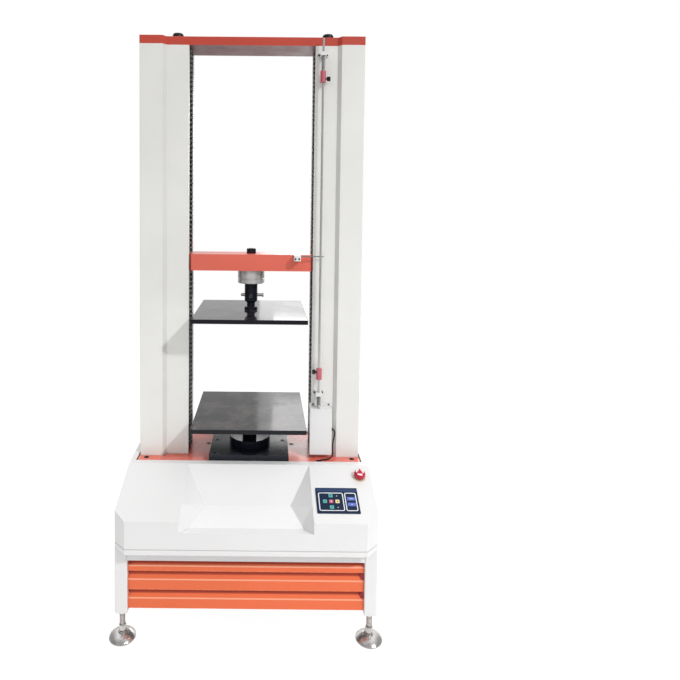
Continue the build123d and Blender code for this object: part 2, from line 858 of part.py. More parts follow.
# Bearings: one in each boss under the plate and one in each end of the top beam
top_bearing_z = top_beam_z + seam
with BuildPart() as screw_bearings:
    with BuildSketch(Plane.XY.offset(boss_z + seam)):
        with Locations(*screw_places):
            Circle(bearing_diameter / 2)
            Circle(journal_diameter / 2 + running_fit, mode=Mode.SUBTRACT)
    extrude(amount=bearing_width)
    with BuildSketch(Plane.XY.offset(top_bearing_z)):
        with Locations(*screw_places):
            Circle(top_bearing_diameter / 2)
            Circle(top_journal_diameter / 2 + running_fit, mode=Mode.SUBTRACT)
    extrude(amount=top_bearing_width)
save(screw_bearings, "screw_bearings")

# Ball screws, each with the pulleys fixed on its lower end
journal = journal_diameter / 2
screw_radius = screw_diameter / 2
top_journal = top_journal_diameter / 2
screw_head = [
    (journal, plate_top_z + seam),
    (screw_radius, plate_top_z + seam),
    (screw_radius, top_beam_z - seam),
    (top_journal, top_beam_z - seam),
    (top_journal, top_bearing_z + top_bearing_width + edge_break),
    (0, top_bearing_z + top_bearing_width + edge_break),
]
sync_rim = pulley_outline(screw_pulley_radius, sync_belt_z - pulley_flange_thickness)
second_rim = pulley_outline(screw_pulley_radius, drive_belt_z - pulley_flange_thickness)
for side, hand in sides:
    tail = [(0, screw_bottom_z), (journal, screw_bottom_z), (journal, sync_rim[0][1])]
    rims = list(sync_rim)
    if side == "right":
        rims += [(journal, sync_rim[-1][1]), (journal, second_rim[0][1])] + second_rim
    shoulder = [(journal, rims[-1][1])]
    with BuildPart() as screw:
        add(turned(hand * screw_x, load_axis_y, tail + rims + shoulder + screw_head))
    save(screw, f"{side}_screw")

# Guide posts between the plate and the top beam
with BuildPart() as guide_posts:
    with BuildSketch(Plane.XY.offset(plate_top_z)):
        with Locations((-post_x, load_axis_y), (post_x, load_axis_y)):
            Circle(post_diameter / 2)
    extrude(amount=top_beam_z - plate_top_z)
save(guide_posts, "guide_posts")


def column_plan(hand):
    """Outside of a column seen from above, stepped forward over its outer half."""
    bevel_x = column_inner_x + column_flat
    inner_y = load_axis_y - column_inner_front
    outer_y = load_axis_y - column_front
    back_y = load_axis_y + column_back
    right = [
        (column_inner_x, back_y),
        (column_inner_x, inner_y),
        (bevel_x, inner_y),
        (bevel_x + column_bevel, outer_y),
        (column_outer_x, outer_y),
        (column_outer_x, back_y),
    ]
    return [(hand * px, py) for px, py in right]


# Column covers: folded shells, open towards the test space along a slot
for side, hand in sides:
    with BuildPart() as column:
        with BuildSketch(Plane.XY.offset(plate_top_z)):
            with BuildLine():
                Polyline(*column_plan(hand), close=True)
            make_face()
            offset(amount=-sheet, kind=Kind.INTERSECTION, mode=Mode.SUBTRACT)
            with Locations((hand * column_inner_x, load_axis_y)):
                Rectangle(4 * sheet, slot_width, mode=Mode.SUBTRACT)
        extrude(amount=top_beam_z - plate_top_z)
        corner_edges = edges().filter_by(Axis.Z).group_by(Axis.X)
        outer_edges = corner_edges[-1] if hand > 0 else corner_edges[0]
        fillet(outer_edges, radius=sheet)
    save(column, f"{side}_column")


def pleated(bottom_z, top_z):
    """A pair of pleated covers, one in each column slot, between two heights."""
    count = round((top_z - bottom_z) / pleat_pitch)
    half = (top_z - bottom_z) / count / 2
    near_x = column_inner_x + pleat_sheet
    far_x = near_x + pleat_depth
    front = []
    back = []
    for step in range(2 * count + 1):
        fold_x = far_x if step % 2 else near_x
        front.append((fold_x, bottom_z + step * half))
        back.append((fold_x + pleat_sheet, bottom_z + step * half))
    outline = front + back[::-1]
    with BuildPart() as pair:
        with BuildSketch(Plane.XZ.offset(-load_axis_y)):
            for hand in (-1, 1):
                with BuildLine():
                    Polyline(*[(hand * px, pz) for px, pz in outline], close=True)
                make_face()
        extrude(amount=slot_width / 2 - pleat_margin, both=True)
    return pair


save(pleated(crosshead_top_z, top_beam_z), "upper_bellows")
save(pleated(plate_top_z, crosshead_z), "lower_bellows")

# Top beam: a thick plate that follows the fronts of both columns
right_front = column_plan(1)[2:5]
left_front = column_plan(-1)[4:1:-1]
beam_back_y = load_axis_y + column_back
with BuildPart() as top_beam:
    with BuildSketch(Plane.XY.offset(top_beam_z)):
        with BuildLine():
            back_line = [(column_outer_x, beam_back_y), (-column_outer_x, beam_back_y)]
            Polyline(*left_front, *right_front, *back_line, close=True)
        make_face()
        with Locations(*screw_places):
            Circle(top_bearing_diameter / 2 + running_fit, mode=Mode.SUBTRACT)
    extrude(amount=top_beam_thickness)
    chamfer(faces().sort_by(Axis.Z)[-1].outer_wire().edges(), length=top_beam_chamfer)
save(top_beam, "top_beam")

# Caps over the upper screw bearings
cap_outline = [
    (0, beam_top_z - cap_spigot),
    (top_bearing_diameter / 2 - edge_break, beam_top_z - cap_spigot),
    (top_bearing_diameter / 2 - edge_break, beam_top_z),
    (cap_diameter / 2, beam_top_z),
    (cap_diameter / 2, beam_top_z + cap_shoulder),
    (cap_diameter / 2 - cap_bevel, beam_top_z + cap_height),
    (0, beam_top_z + cap_height),
]
with BuildPart() as screw_caps:
    for x, y in screw_places:
        add(turned(x, y, cap_outline))
save(screw_caps, "screw_caps")

# Crosshead bored for the nuts, the bushes and the load cell bolt
post_places = [(-post_x, load_axis_y), (post_x, load_axis_y)]
with BuildPart() as crosshead:
    with BuildSketch(Plane.XY.offset(crosshead_z)):
        with Locations((0, load_axis_y)):
            Rectangle(crosshead_length, crosshead_end_depth)
            RectangleRounded(crosshead_block_width, crosshead_depth, crosshead_corner)
        with Locations(*screw_places):
            Circle(nut_body_diameter / 2 + running_fit, mode=Mode.SUBTRACT)
        with Locations(*post_places):
            Circle(bush_diameter / 2 + running_fit, mode=Mode.SUBTRACT)
        with Locations((0, load_axis_y)):
            Circle(load_bolt_diameter / 2 + running_fit, mode=Mode.SUBTRACT)
    extrude(amount=crosshead_height)
save(crosshead, "crosshead")

# Ball nuts, flanged against the underside of the crosshead
with BuildPart() as ball_nuts:
    with BuildSketch(Plane.XY.offset(crosshead_z)):
        with Locations(*screw_places):
            Circle(nut_body_diameter / 2)
    extrude(amount=crosshead_height)
    with BuildSketch(Plane.XY.offset(crosshead_z)):
        with Locations(*screw_places):
            Circle(nut_flange_diameter / 2)
    extrude(amount=-nut_flange_thickness)
    with BuildSketch(Plane.XY.offset(crosshead_z - nut_flange_thickness)):
        with Locations(*screw_places):
            Circle(screw_radius + running_fit)
    extrude(amount=crosshead_height + nut_flange_thickness, mode=Mode.SUBTRACT)
save(ball_nuts, "ball_nuts")

# Guide bushes that run on the posts
with BuildPart() as guide_bushes:
    with BuildSketch(Plane.XY.offset(crosshead_z)):
        with Locations(*post_places):
            Circle(bush_diameter / 2)
            Circle(post_diameter / 2 + running_fit, mode=Mode.SUBTRACT)
    extrude(amount=crosshead_height)
save(guide_bushes, "guide_bushes")

# Load cell, grooved round its side, and the bolt that hangs it from the crosshead
cell_radius = load_cell_diameter / 2
bolt_radius = load_bolt_diameter / 2
groove_z = load_cell_z + load_cell_groove_z
with BuildPart() as load_cell:
    with BuildSketch(Plane.XY.offset(load_cell_z)):
        with Locations((0, load_axis_y)):
            Circle(cell_radius)
            Circle(bolt_radius + running_fit, mode=Mode.SUBTRACT)
    extrude(amount=load_cell_height)
    chamfer(edges().filter_by(GeomType.CIRCLE).sort_by(SortBy.RADIUS)[-2:], length=small_chamfer)
    with BuildSketch(Plane.XY.offset(groove_z)):
        with Locations((0, load_axis_y)):
            Circle(cell_radius + edge_break)
            Circle(cell_radius - load_cell_groove, mode=Mode.SUBTRACT)
    extrude(amount=load_cell_groove, mode=Mode.SUBTRACT)
save(load_cell, "load_cell")

head_top_z = crosshead_top_z + load_bolt_head_height
with BuildPart() as load_cell_bolt:
    add(
        turned(
            0,
            load_axis_y,
            [
                (0, load_cell_z - load_bolt_grip),
                (bolt_radius, load_cell_z - load_bolt_grip),
                (bolt_radius, crosshead_top_z),
                (load_bolt_head_diameter / 2, crosshead_top_z),
                (load_bolt_head_diameter / 2, head_top_z - small_chamfer),
                (load_bolt_head_diameter / 2 - small_chamfer, head_top_z),
                (0, head_top_z),
            ],
        )
    )
    with BuildSketch(Plane.XY.offset(head_top_z)):
        with Locations((0, load_axis_y)):
            RegularPolygon(load_bolt_socket, 6)
    extrude(amount=-load_bolt_socket_depth, mode=Mode.SUBTRACT)
save(load_cell_bolt, "load_cell_bolt")

# Coupling sleeve under the load cell, with the cross hole for its pin
sleeve_radius = sleeve_diameter / 2
stem_top_z = sleeve_z + stem_engagement
with BuildPart() as coupling_sleeve:
    add(
        turned(
            0,
            load_axis_y,
            [
                (stem_diameter / 2 + running_fit, sleeve_z),
                (sleeve_radius - sleeve_taper, sleeve_z),
                (sleeve_radius, sleeve_z + sleeve_taper),
                (sleeve_radius, load_cell_z - edge_break),
                (sleeve_radius - edge_break, load_cell_z),
                (bolt_radius + running_fit, load_cell_z),
                (bolt_radius + running_fit, load_cell_z - load_bolt_grip - edge_break),
                (0, load_cell_z - load_bolt_grip - edge_break),
                (0, stem_top_z + running_fit),
                (stem_diameter / 2 + running_fit, stem_top_z + running_fit),
            ],
        )
    )
    with BuildSketch(Plane.YZ):
        with Locations((load_axis_y, pin_z)):
            Circle(pin_diameter / 2 + running_fit)
    extrude(amount=sleeve_diameter, both=True, mode=Mode.SUBTRACT)
save(coupling_sleeve, "coupling_sleeve")

# Coupling pin with a round nose on the left and a head on the right
with BuildPart() as coupling_pin:
    with BuildSketch(Plane(origin=(0, load_axis_y, pin_z), x_dir=(1, 0, 0), z_dir=(0, -1, 0))):
        with BuildLine():
            nose = (-pin_left + pin_diameter / 4, pin_diameter / 2)
            neck = (pin_right - pin_head_length, pin_diameter / 2)
            shoulder = (neck[0], pin_head_diameter / 2)
            Line((-pin_left, 0), (-pin_left, pin_diameter / 4))
            Line((-pin_left, pin_diameter / 4), nose)
            Polyline(nose, neck, shoulder, (pin_right, pin_head_diameter / 2), (pin_right, 0))
            Line((pin_right, 0), (-pin_left, 0))
        make_face()
    revolve(axis=Axis((0, load_axis_y, pin_z), (1, 0, 0)))
save(coupling_pin, "coupling_pin")

# Stem of the upper platen: it plugs into the sleeve and is flanged to the platen
with BuildPart() as platen_stem:
    flange_top_z = stem_flange_z + stem_flange_height
    add(
        turned(
            0,
            load_axis_y,
            [
                (0, stem_flange_z),
                (stem_flange_diameter / 2, stem_flange_z),
                (stem_flange_diameter / 2, flange_top_z - stem_flange_chamfer),
                (stem_flange_diameter / 2 - stem_flange_chamfer, flange_top_z),
                (stem_diameter / 2, flange_top_z),
                (stem_diameter / 2, stem_top_z),
                (0, stem_top_z),
            ],
        )
    )
    with BuildSketch(Plane.YZ):
        with Locations((load_axis_y, pin_z)):
            Circle(pin_diameter / 2 + running_fit)
    extrude(amount=sleeve_diameter, both=True, mode=Mode.SUBTRACT)
save(platen_stem, "platen_stem")


def platen(bottom_z):
    """A square compression plate with lightly broken edges."""
    with BuildPart() as plate:
        with BuildSketch(Plane.XY.offset(bottom_z)):
            with Locations((0, load_axis_y)):
                Rectangle(platen_size, platen_size)
        extrude(amount=platen_thickness)
        chamfer(edges(), length=platen_edge)
    return plate


save(platen(upper_platen_z), "upper_platen")
save(platen(pedestal_top_z), "lower_platen")

# Pedestal under the lower platen: a turned disc and post
with BuildPart() as pedestal:
    disc_top_z = adapter_top_z + pedestal_height
    add(
        turned(
            0,
            load_axis_y,
            [
                (0, adapter_top_z),
                (pedestal_diameter / 2, adapter_top_z),
                (pedestal_diameter / 2, disc_top_z - small_chamfer),
                (pedestal_diameter / 2 - small_chamfer, disc_top_z),
                (pedestal_post_diameter / 2, disc_top_z),
                (pedestal_post_diameter / 2, pedestal_top_z),
                (0, pedestal_top_z),
            ],
        )
    )
save(pedestal, "pedestal")

# Adapter plate on the base plate
with BuildPart() as adapter_plate:
    with BuildSketch(Plane.XY.offset(plate_top_z)):
        with Locations((0, load_axis_y)):
            Rectangle(adapter_width, adapter_depth)
        with Locations(*adapter_bolts):
            Circle(shank_hole, mode=Mode.SUBTRACT)
    extrude(amount=adapter_thickness)
    with BuildSketch(Plane.XY.offset(adapter_top_z)):
        with Locations(*adapter_bolts):
            Circle(bolt_head_diameter / 2 + bolt_sink_gap)
    extrude(amount=-bolt_sink, mode=Mode.SUBTRACT)
save(adapter_plate, "adapter_plate")


def cap_screws(places, seat_z, shank_length):
    """Socket head screws on a seat, with their shanks in the holes below."""
    with BuildPart() as group:
        with BuildSketch(Plane.XY.offset(seat_z)):
            with Locations(*places):
                Circle(bolt_head_diameter / 2)
        extrude(amount=bolt_head_height)
        with BuildSketch(Plane.XY.offset(seat_z)):
            with Locations(*places):
                Circle(bolt_shank_diameter / 2)
        extrude(amount=-shank_length)
        with BuildSketch(Plane.XY.offset(seat_z + bolt_head_height)):
            with Locations(*places):
                RegularPolygon(bolt_shank_diameter / 2, 6)
        extrude(amount=-bolt_socket_depth, mode=Mode.SUBTRACT)
    return group.part


# Screws that hold the adapter plate and the base plate
with BuildPart() as table_bolts:
    add(cap_screws(plate_bolts, plate_top_z - bolt_sink, bolt_shank_length))
    add(cap_screws(adapter_bolts, adapter_top_z - bolt_sink, adapter_thickness + bolt_shank_length))
save(table_bolts, "table_bolts")

# Limit rod, and the two clamped rings on it that hold its springs
rod_radius = rod_diameter / 2
upper_ring_z = upper_bracket_z - upper_spring_length - rod_ring_height
lower_ring_z = lower_bracket_z - lower_spring_length - rod_ring_height
with BuildPart() as plain_rod:
    add(
        turned(
            rod_x,
            rod_y,
            [
                (0, rod_bottom_z),
                (rod_radius, rod_bottom_z),
                (rod_radius, rod_top_z - edge_break),
                (rod_radius - edge_break, rod_top_z),
                (0, rod_top_z),
            ],
        )
    )
with BuildPart() as rod_rings:
    for ring_z in (lower_ring_z, upper_ring_z):
        with BuildSketch(Plane.XY.offset(ring_z)):
            with Locations((rod_x, rod_y)):
                Circle(rod_ring_diameter / 2)
                Circle(rod_radius + running_fit, mode=Mode.SUBTRACT)
        extrude(amount=rod_ring_height)
limit_rod = Compound(children=[*plain_rod.part.solids(), *rod_rings.part.solids()])
limit_rod.label = "limit_rod"
export_step(limit_rod, "parts/limit_rod.step")

# Brackets that guide the rod, screwed to the face of the column
with BuildPart() as rod_brackets:
    for bracket_z in (lower_bracket_z, upper_bracket_z):
        with BuildSketch(Plane.XY.offset(bracket_z)):
            with BuildLine():
                half = bracket_width / 2
                tip_y = rod_y - bracket_reach
                Polyline(
                    (rod_x - half, column_face_y),
                    (rod_x - half, column_face_y - bracket_plate),
                    (rod_x - bracket_reach, column_face_y - bracket_plate),
                    (rod_x - bracket_reach, tip_y),
                    (rod_x + bracket_reach, tip_y),
                    (rod_x + bracket_reach, column_face_y - bracket_plate),
                    (rod_x + half, column_face_y - bracket_plate),
                    (rod_x + half, column_face_y),
                    close=True,
                )
            make_face()
            with Locations((rod_x, rod_y)):
                Circle(rod_radius + running_fit, mode=Mode.SUBTRACT)
        extrude(amount=bracket_height)
save(rod_brackets, "rod_brackets")


def coil(bottom_z, length):
    """A round-wire compression spring about the rod."""
    height = length - spring_wire - 2 * loose_fit
    radius = (spring_diameter - spring_wire) / 2
    with BuildPart() as spring:
        with BuildLine() as path:
            start = (rod_x, rod_y, bottom_z + loose_fit + spring_wire / 2)
            Helix(height / spring_turns, height, radius, center=start)
        with BuildSketch(Plane(origin=path.line @ 0, z_dir=path.line % 0)):
            RegularPolygon(spring_wire / 2, 6)
        sweep(is_frenet=True)
    return spring.part


with BuildPart() as rod_springs:
    add(coil(lower_ring_z + rod_ring_height, lower_spring_length))
    add(coil(upper_ring_z + rod_ring_height, upper_spring_length))
save(rod_springs, "rod_springs")

# Stop collars on the rod, each clamped by a thumb screw
upper_collar_z = upper_ring_z - loose_fit - collar_height
collars = (("lower", lower_collar_z, -1), ("upper", upper_collar_z, 1))
collar_radius = collar_diameter / 2
knob_start = collar_radius + collar_knob_gap
for name, bottom_z, hand in collars:
    screw_z = bottom_z + collar_height / 2 - hand * collar_screw_shift
    with BuildPart() as collar:
        with BuildSketch(Plane.XY.offset(bottom_z)):
            with Locations((rod_x, rod_y)):
                Circle(collar_radius)
                Circle(rod_radius + running_fit, mode=Mode.SUBTRACT)
        extrude(amount=collar_height)
        with BuildSketch(Plane.YZ.offset(rod_x)):
            with Locations((rod_y, screw_z)):
                Circle(collar_screw_diameter / 2 + running_fit)
        extrude(amount=hand * collar_diameter, mode=Mode.SUBTRACT)
    save(collar, f"{name}_collar")
    with BuildPart() as thumb_screw:
        with BuildSketch(Plane.YZ.offset(rod_x + hand * (rod_radius + loose_fit))):
            with Locations((rod_y, screw_z)):
                Circle(collar_screw_diameter / 2)
        extrude(amount=hand * (knob_start - rod_radius - loose_fit))
        with BuildSketch(Plane.YZ.offset(rod_x + hand * knob_start)):
            with Locations((rod_y, screw_z)):
                Circle(collar_knob_diameter / 2)
                with PolarLocations(collar_knob_diameter / 2, collar_knob_flutes):
                    Circle(collar_knob_flute_radius, mode=Mode.SUBTRACT)
        extrude(amount=hand * collar_knob_length)
    save(thumb_screw, f"{name}_collar_screw")

# Switch box that the rod's lower end works in
box_top_z = switch_box_bottom_z + switch_box_height
box_centre_x = switch_box_left + switch_box_width / 2
with BuildPart() as switch_box:
    with BuildSketch(Plane.XY.offset(switch_box_bottom_z)):
        with Locations((box_centre_x, column_face_y - switch_box_depth / 2)):
            Rectangle(switch_box_width, switch_box_depth)
    extrude(amount=switch_box_height)
    front_edges = edges().filter_by(Axis.Z).group_by(Axis.Y)[0]
    fillet(front_edges, radius=switch_box_corner)
    with BuildSketch(Plane.XY.offset(box_top_z)):
        with Locations((box_centre_x, column_face_y - switch_box_flange_thickness / 2)):
            Rectangle(switch_box_width, switch_box_flange_thickness)
    extrude(amount=switch_box_flange)
    with BuildSketch(Plane.XY.offset(box_top_z)):
        with Locations((rod_x, rod_y)):
            Circle(switch_box_rod_hole / 2)
    extrude(amount=-switch_box_rod_depth, mode=Mode.SUBTRACT)
save(switch_box, "switch_box")


def bend_radii(route):
    """The bend at each corner of a cord's route, as large as its two runs allow."""
    radii = []
    for before, corner, after in zip(route, route[1:], route[2:]):
        turn = radians((corner - before).get_angle(after - corner))
        shorter = min((corner - before).length, (after - corner).length)
        radii.append(0.45 * shorter / tan(turn / 2))
    return radii


# Cable from the switch box to the hole in the base plate
with BuildPart() as switch_cable:
    with BuildLine() as cable_path:
        FilletPolyline(*cable_route, radius=bend_radii(cable_route))
    with BuildSketch(Plane(origin=cable_path.line @ 0, z_dir=cable_path.line % 0)):
        Circle(cable_diameter / 2)
    sweep()
save(switch_cable, "switch_cable")

# Finger on the crosshead that meets the collars
finger_z = crosshead_top_z - finger_drop
finger_y = rod_y + finger_behind_rod
crosshead_front_y = load_axis_y - crosshead_depth / 2
with BuildPart() as limit_finger:
    block_z = finger_z - finger_block_drop - finger_block_height / 2
    with BuildSketch(Plane.XY.offset(block_z)):
        with Locations((finger_x, crosshead_front_y - finger_block_depth / 2)):
            Rectangle(finger_block_width, finger_block_depth)
    extrude(amount=finger_block_height)
    chamfer(edges().filter_by(Axis.Z).group_by(Axis.Y)[0], length=finger_block_chamfer)
    with BuildSketch(Plane.YZ.offset(finger_x)):
        with Locations((finger_y, finger_z)):
            Circle(finger_diameter / 2)
    extrude(amount=rod_x + finger_reach - finger_x)
save(limit_finger, "limit_finger")

# Keypad: a panel let into the slope, with a pocket for each key
key_places = {
    "up": (key_cross_x, key_cross_y + key_pitch_y, key_size, key_size),
    "left": (key_cross_x - key_pitch_x, key_cross_y, key_size, key_size),
    "stop": (key_cross_x, key_cross_y, key_size, key_size),
    "right": (key_cross_x + key_pitch_x, key_cross_y, key_size, key_size),
    "down": (key_cross_x, key_cross_y - key_pitch_y, key_size, key_size),
    "fast": (wide_key_x, wide_key_y + wide_key_pitch / 2, wide_key_length, wide_key_height),
    "slow": (wide_key_x, wide_key_y - wide_key_pitch / 2, wide_key_length, wide_key_height),
}
with BuildPart() as keypad_panel:
    with BuildSketch(keypad_plane):
        RectangleRounded(keypad_width, keypad_height, keypad_corner)
    extrude(amount=keypad_lift)
    with BuildSketch(keypad_plane):
        Rectangle(*keypad_body)
    extrude(amount=-keypad_body_depth)
    with BuildSketch(keypad_plane.offset(keypad_lift)):
        for x, y, length, height in key_places.values():
            with Locations((x, y)):
                RectangleRounded(length + 2 * loose_fit, height + 2 * loose_fit, key_corner + loose_fit)
    extrude(amount=-key_pocket, mode=Mode.SUBTRACT)
save(keypad_panel, "keypad_panel")

key_foot = key_pocket - key_travel - loose_fit
for name, (x, y, length, height) in key_places.items():
    with BuildPart() as key:
        with BuildSketch(keypad_plane.offset(keypad_lift - key_foot)):
            with Locations((x, y)):
                RectangleRounded(length, height, key_corner)
        extrude(amount=key_foot + key_proud)
    save(key, f"key_{name}")

# Emergency stop: a collar with a threaded barrel and nut, and the mushroom head
with BuildPart() as stop_base:
    with BuildSketch(stop_plane):
        Circle(stop_collar_diameter / 2)
    extrude(amount=stop_collar_height, taper=stop_collar_taper)
    with BuildSketch(stop_plane):
        Circle(stop_barrel_diameter / 2)
    extrude(amount=-stop_barrel_length)
    with BuildSketch(stop_plane.offset(-sheet)):
        Circle(stop_nut_diameter / 2)
    extrude(amount=-stop_nut_height)
    with BuildSketch(stop_plane.offset(stop_collar_height)):
        Circle(stop_stem_diameter / 2 + running_fit)
    extrude(amount=-stop_barrel_length, mode=Mode.SUBTRACT)
save(stop_base, "emergency_stop_base")

with BuildPart() as stop_head:
    with BuildSketch(stop_plane.offset(stop_lift)):
        Circle(stop_head_diameter / 2)
    extrude(amount=stop_head_height)
    fillet(faces().sort_by(Axis(stop_plane.origin, stop_plane.z_dir))[-1].edges(), radius=stop_head_round)
    with BuildSketch(stop_plane.offset(stop_lift)):
        Circle(stop_stem_diameter / 2)
    extrude(amount=-stop_lift - stop_collar_height)
save(stop_head, "emergency_stop_head")
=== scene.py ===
"""Looks of the twin-column testing machine: its finishes, and the detail that the solids leave out."""
import json
from math import cos, pi, radians, sin, sqrt

import bmesh
import bpy
from bpy.props import FloatProperty, FloatVectorProperty, IntProperty, PointerProperty
from mathutils import Matrix, Vector


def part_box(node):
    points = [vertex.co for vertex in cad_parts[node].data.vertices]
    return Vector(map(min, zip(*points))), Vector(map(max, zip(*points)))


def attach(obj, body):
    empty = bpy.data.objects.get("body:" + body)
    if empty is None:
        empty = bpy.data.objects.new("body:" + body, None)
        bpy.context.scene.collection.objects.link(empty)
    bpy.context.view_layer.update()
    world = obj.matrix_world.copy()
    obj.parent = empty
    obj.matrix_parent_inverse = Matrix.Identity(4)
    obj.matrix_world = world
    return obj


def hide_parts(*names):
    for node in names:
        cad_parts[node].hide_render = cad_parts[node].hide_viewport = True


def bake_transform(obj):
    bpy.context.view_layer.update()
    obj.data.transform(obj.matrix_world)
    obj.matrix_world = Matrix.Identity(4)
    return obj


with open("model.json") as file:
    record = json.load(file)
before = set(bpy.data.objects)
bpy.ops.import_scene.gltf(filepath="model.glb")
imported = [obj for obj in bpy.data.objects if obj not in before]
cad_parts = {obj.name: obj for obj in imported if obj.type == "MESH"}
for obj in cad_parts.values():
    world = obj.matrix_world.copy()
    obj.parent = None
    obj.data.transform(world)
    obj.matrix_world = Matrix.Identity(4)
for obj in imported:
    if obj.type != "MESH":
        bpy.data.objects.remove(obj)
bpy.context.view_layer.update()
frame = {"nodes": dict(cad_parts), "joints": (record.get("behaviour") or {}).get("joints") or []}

bl_info = {
    "name": "Testing Machine Looks",
    "version": (1, 0, 0),
    "blender": (4, 5, 0),
    "location": "3D View > Sidebar > Tester",
    "description": "Dresses the twin-column testing machine with its finishes and fine detail",
    "category": "Object",
}


def paint_prop(name, description, default):
    """A colour that a user may change."""
    return FloatVectorProperty(
        name=name, description=description, default=default, size=3, min=0, max=1, subtype="COLOR"
    )


def length_prop(name, description, default):
    """A length that a user may change."""
    return FloatProperty(
        name=name, description=description, default=default, min=0, unit="LENGTH", precision=5
    )


def power_prop(name, description, default):
    """The power of a lamp that a user may change."""
    return FloatProperty(name=name, description=description, default=default, unit="POWER")


class TesterColours(bpy.types.PropertyGroup):
    """Colours of the machine's finishes."""

    cover_white: paint_prop(
        "Cover White", "Powder coat on the base housing and the stand", (0.80, 0.80, 0.805)
    )
    column_white: paint_prop("Column White", "Powder coat on the column covers", (0.82, 0.82, 0.795))
    # The beam's red is a darker copy of the crosshead's red: painted shade for the dimmer light at the top.
    beam_shaded_red: paint_prop("Beam Red", "Paint on the top beam", (0.565, 0.062, 0.036))
    crosshead_red: paint_prop(
        "Crosshead Red", "Paint on the crosshead and the base plate", (0.79, 0.155, 0.105)
    )
    louvre_orange: paint_prop("Louvre Orange", "Paint on the louvred panel", (0.80, 0.15, 0.05))
    plate_blue: paint_prop("Plate Blueing", "Blued steel of the platens", (0.012, 0.013, 0.017))
    black_oxide: paint_prop("Black Oxide", "Blackened steel of the load string", (0.010, 0.012, 0.020))
    keypad_navy: paint_prop("Keypad Navy", "Film on the keypad", (0.012, 0.024, 0.060))
    stop_red: paint_prop("Stop Red", "Mushroom head of the emergency stop", (0.50, 0.012, 0.045))
    collar_red: paint_prop("Collar Red", "Dye on the limit collars", (0.66, 0.17, 0.20))


class TesterSizes(bpy.types.PropertyGroup):
    """Sizes of the fine detail."""

    pleat_pitch: length_prop("Pleat Pitch", "Height of one pleat of the slot covers", 0.0175)
    pleat_depth: length_prop("Pleat Depth", "Depth of one pleat of the slot covers", 0.012)
    pleat_sheet: length_prop("Pleat Sheet", "Thickness of the pleated sheet", 0.0008)
    spring_wire: length_prop("Spring Wire", "Diameter of the spring wire", 0.0018)
    spring_width: length_prop("Spring Width", "Outside diameter of the rod springs", 0.014)
    spring_turns: IntProperty(name="Spring Turns", description="Turns of each rod spring", default=8, min=2)
    thread_pitch: length_prop("Thread Pitch", "Pitch of the thread on the levelling feet", 0.002)
    thread_height: length_prop("Thread Height", "Height of the thread ridge on the levelling feet", 0.0007)
    cable_width: length_prop("Cable Width", "Diameter of the switch cable", 0.005)


class TesterStage(bpy.types.PropertyGroup):
    """Light and floor."""

    key_power: power_prop("Key Power", "Lamp high on the right", 22.5)
    panel_power: power_prop("Panel Power", "Soft panel behind", 6.4)
    window_power: power_prop("Window Power", "High panel behind", 6.0)
    room_low: FloatProperty(
        name="Room Light Low", description="Soft light from the height of the eye", default=0.77
    )
    room_high: FloatProperty(name="Room Light High", description="Soft light from overhead", default=0.91)
    floor_size: length_prop("Floor Size", "Side of the square floor", 6.4)


# Node helpers

def node(tree, kind, **sockets):
    """Adds a node and sets its unlinked inputs by name."""
    made = tree.nodes.new(kind)
    for key, value in sockets.items():
        made.inputs[key.replace("_", " ")].default_value = value
    return made


def wire(tree, source, output, target, entry):
    """Links an output to an input, each given by name or number."""
    tree.links.new(source.outputs[output], target.inputs[entry])


def group_tree(name, entries, results):
    """Starts a shader node group with named inputs and outputs."""
    tree = bpy.data.node_groups.new(name, "ShaderNodeTree")
    for label, kind, default in entries:
        socket = tree.interface.new_socket(name=label, in_out="INPUT", socket_type=kind)
        socket.default_value = default
    for label, kind in results:
        tree.interface.new_socket(name=label, in_out="OUTPUT", socket_type=kind)
    return tree, tree.nodes.new("NodeGroupInput"), tree.nodes.new("NodeGroupOutput")


def math_node(tree, operation, first, second):
    """A Math node whose inputs are numbers or (node, output) pairs."""
    made = tree.nodes.new("ShaderNodeMath")
    made.operation = operation
    for slot, value in enumerate((first, second)):
        if isinstance(value, tuple):
            wire(tree, value[0], value[1], made, slot)
        else:
            made.inputs[slot].default_value = value
    return made


def times(tree, first, second):
    """The product of two values, each a number or a (node, output) pair."""
    return math_node(tree, "MULTIPLY", first, second)


def absolute(tree, source, output):
    """The value of an output without its sign."""
    return math_node(tree, "ABSOLUTE", (source, output), 0.0)


def noise(tree, coords, scale, detail=3.0, roughness=0.55, stretch=None):
    """A noise texture on object coordinates, drawn out along an axis where stretch says so."""
    made = node(tree, "ShaderNodeTexNoise", Scale=scale, Detail=detail, Roughness=roughness)
    if stretch:
        turn = tree.nodes.new("ShaderNodeMapping")
        turn.inputs["Scale"].default_value = stretch
        wire(tree, coords, "Object", turn, "Vector")
        wire(tree, turn, "Vector", made, "Vector")
    else:
        wire(tree, coords, "Object", made, "Vector")
    return made


def spread(tree, source, output, low, high, to_low=0.0, to_high=1.0):
    """A smooth Map Range from a stretch of one value to another."""
    made = tree.nodes.new("ShaderNodeMapRange")
    made.interpolation_type = "SMOOTHSTEP"
    made.inputs["From Min"].default_value = low
    made.inputs["From Max"].default_value = high
    made.inputs["To Min"].default_value = to_low
    made.inputs["To Max"].default_value = to_high
    wire(tree, source, output, made, "Value")
    return made


def mix_colour(tree, factor, first, second, blend="MIX"):
    """A colour Mix node whose inputs are values or (node, output) pairs."""
    made = tree.nodes.new("ShaderNodeMix")
    made.data_type = "RGBA"
    made.blend_type = blend
    for slot, value in ((0, factor), (6, first), (7, second)):
        if isinstance(value, tuple) and not isinstance(value[0], (int, float)):
            tree.links.new(value[0].outputs[value[1]], made.inputs[slot])
        elif slot == 0:
            made.inputs[slot].default_value = value
        else:
            made.inputs[slot].default_value = (*value, 1.0)
    return made


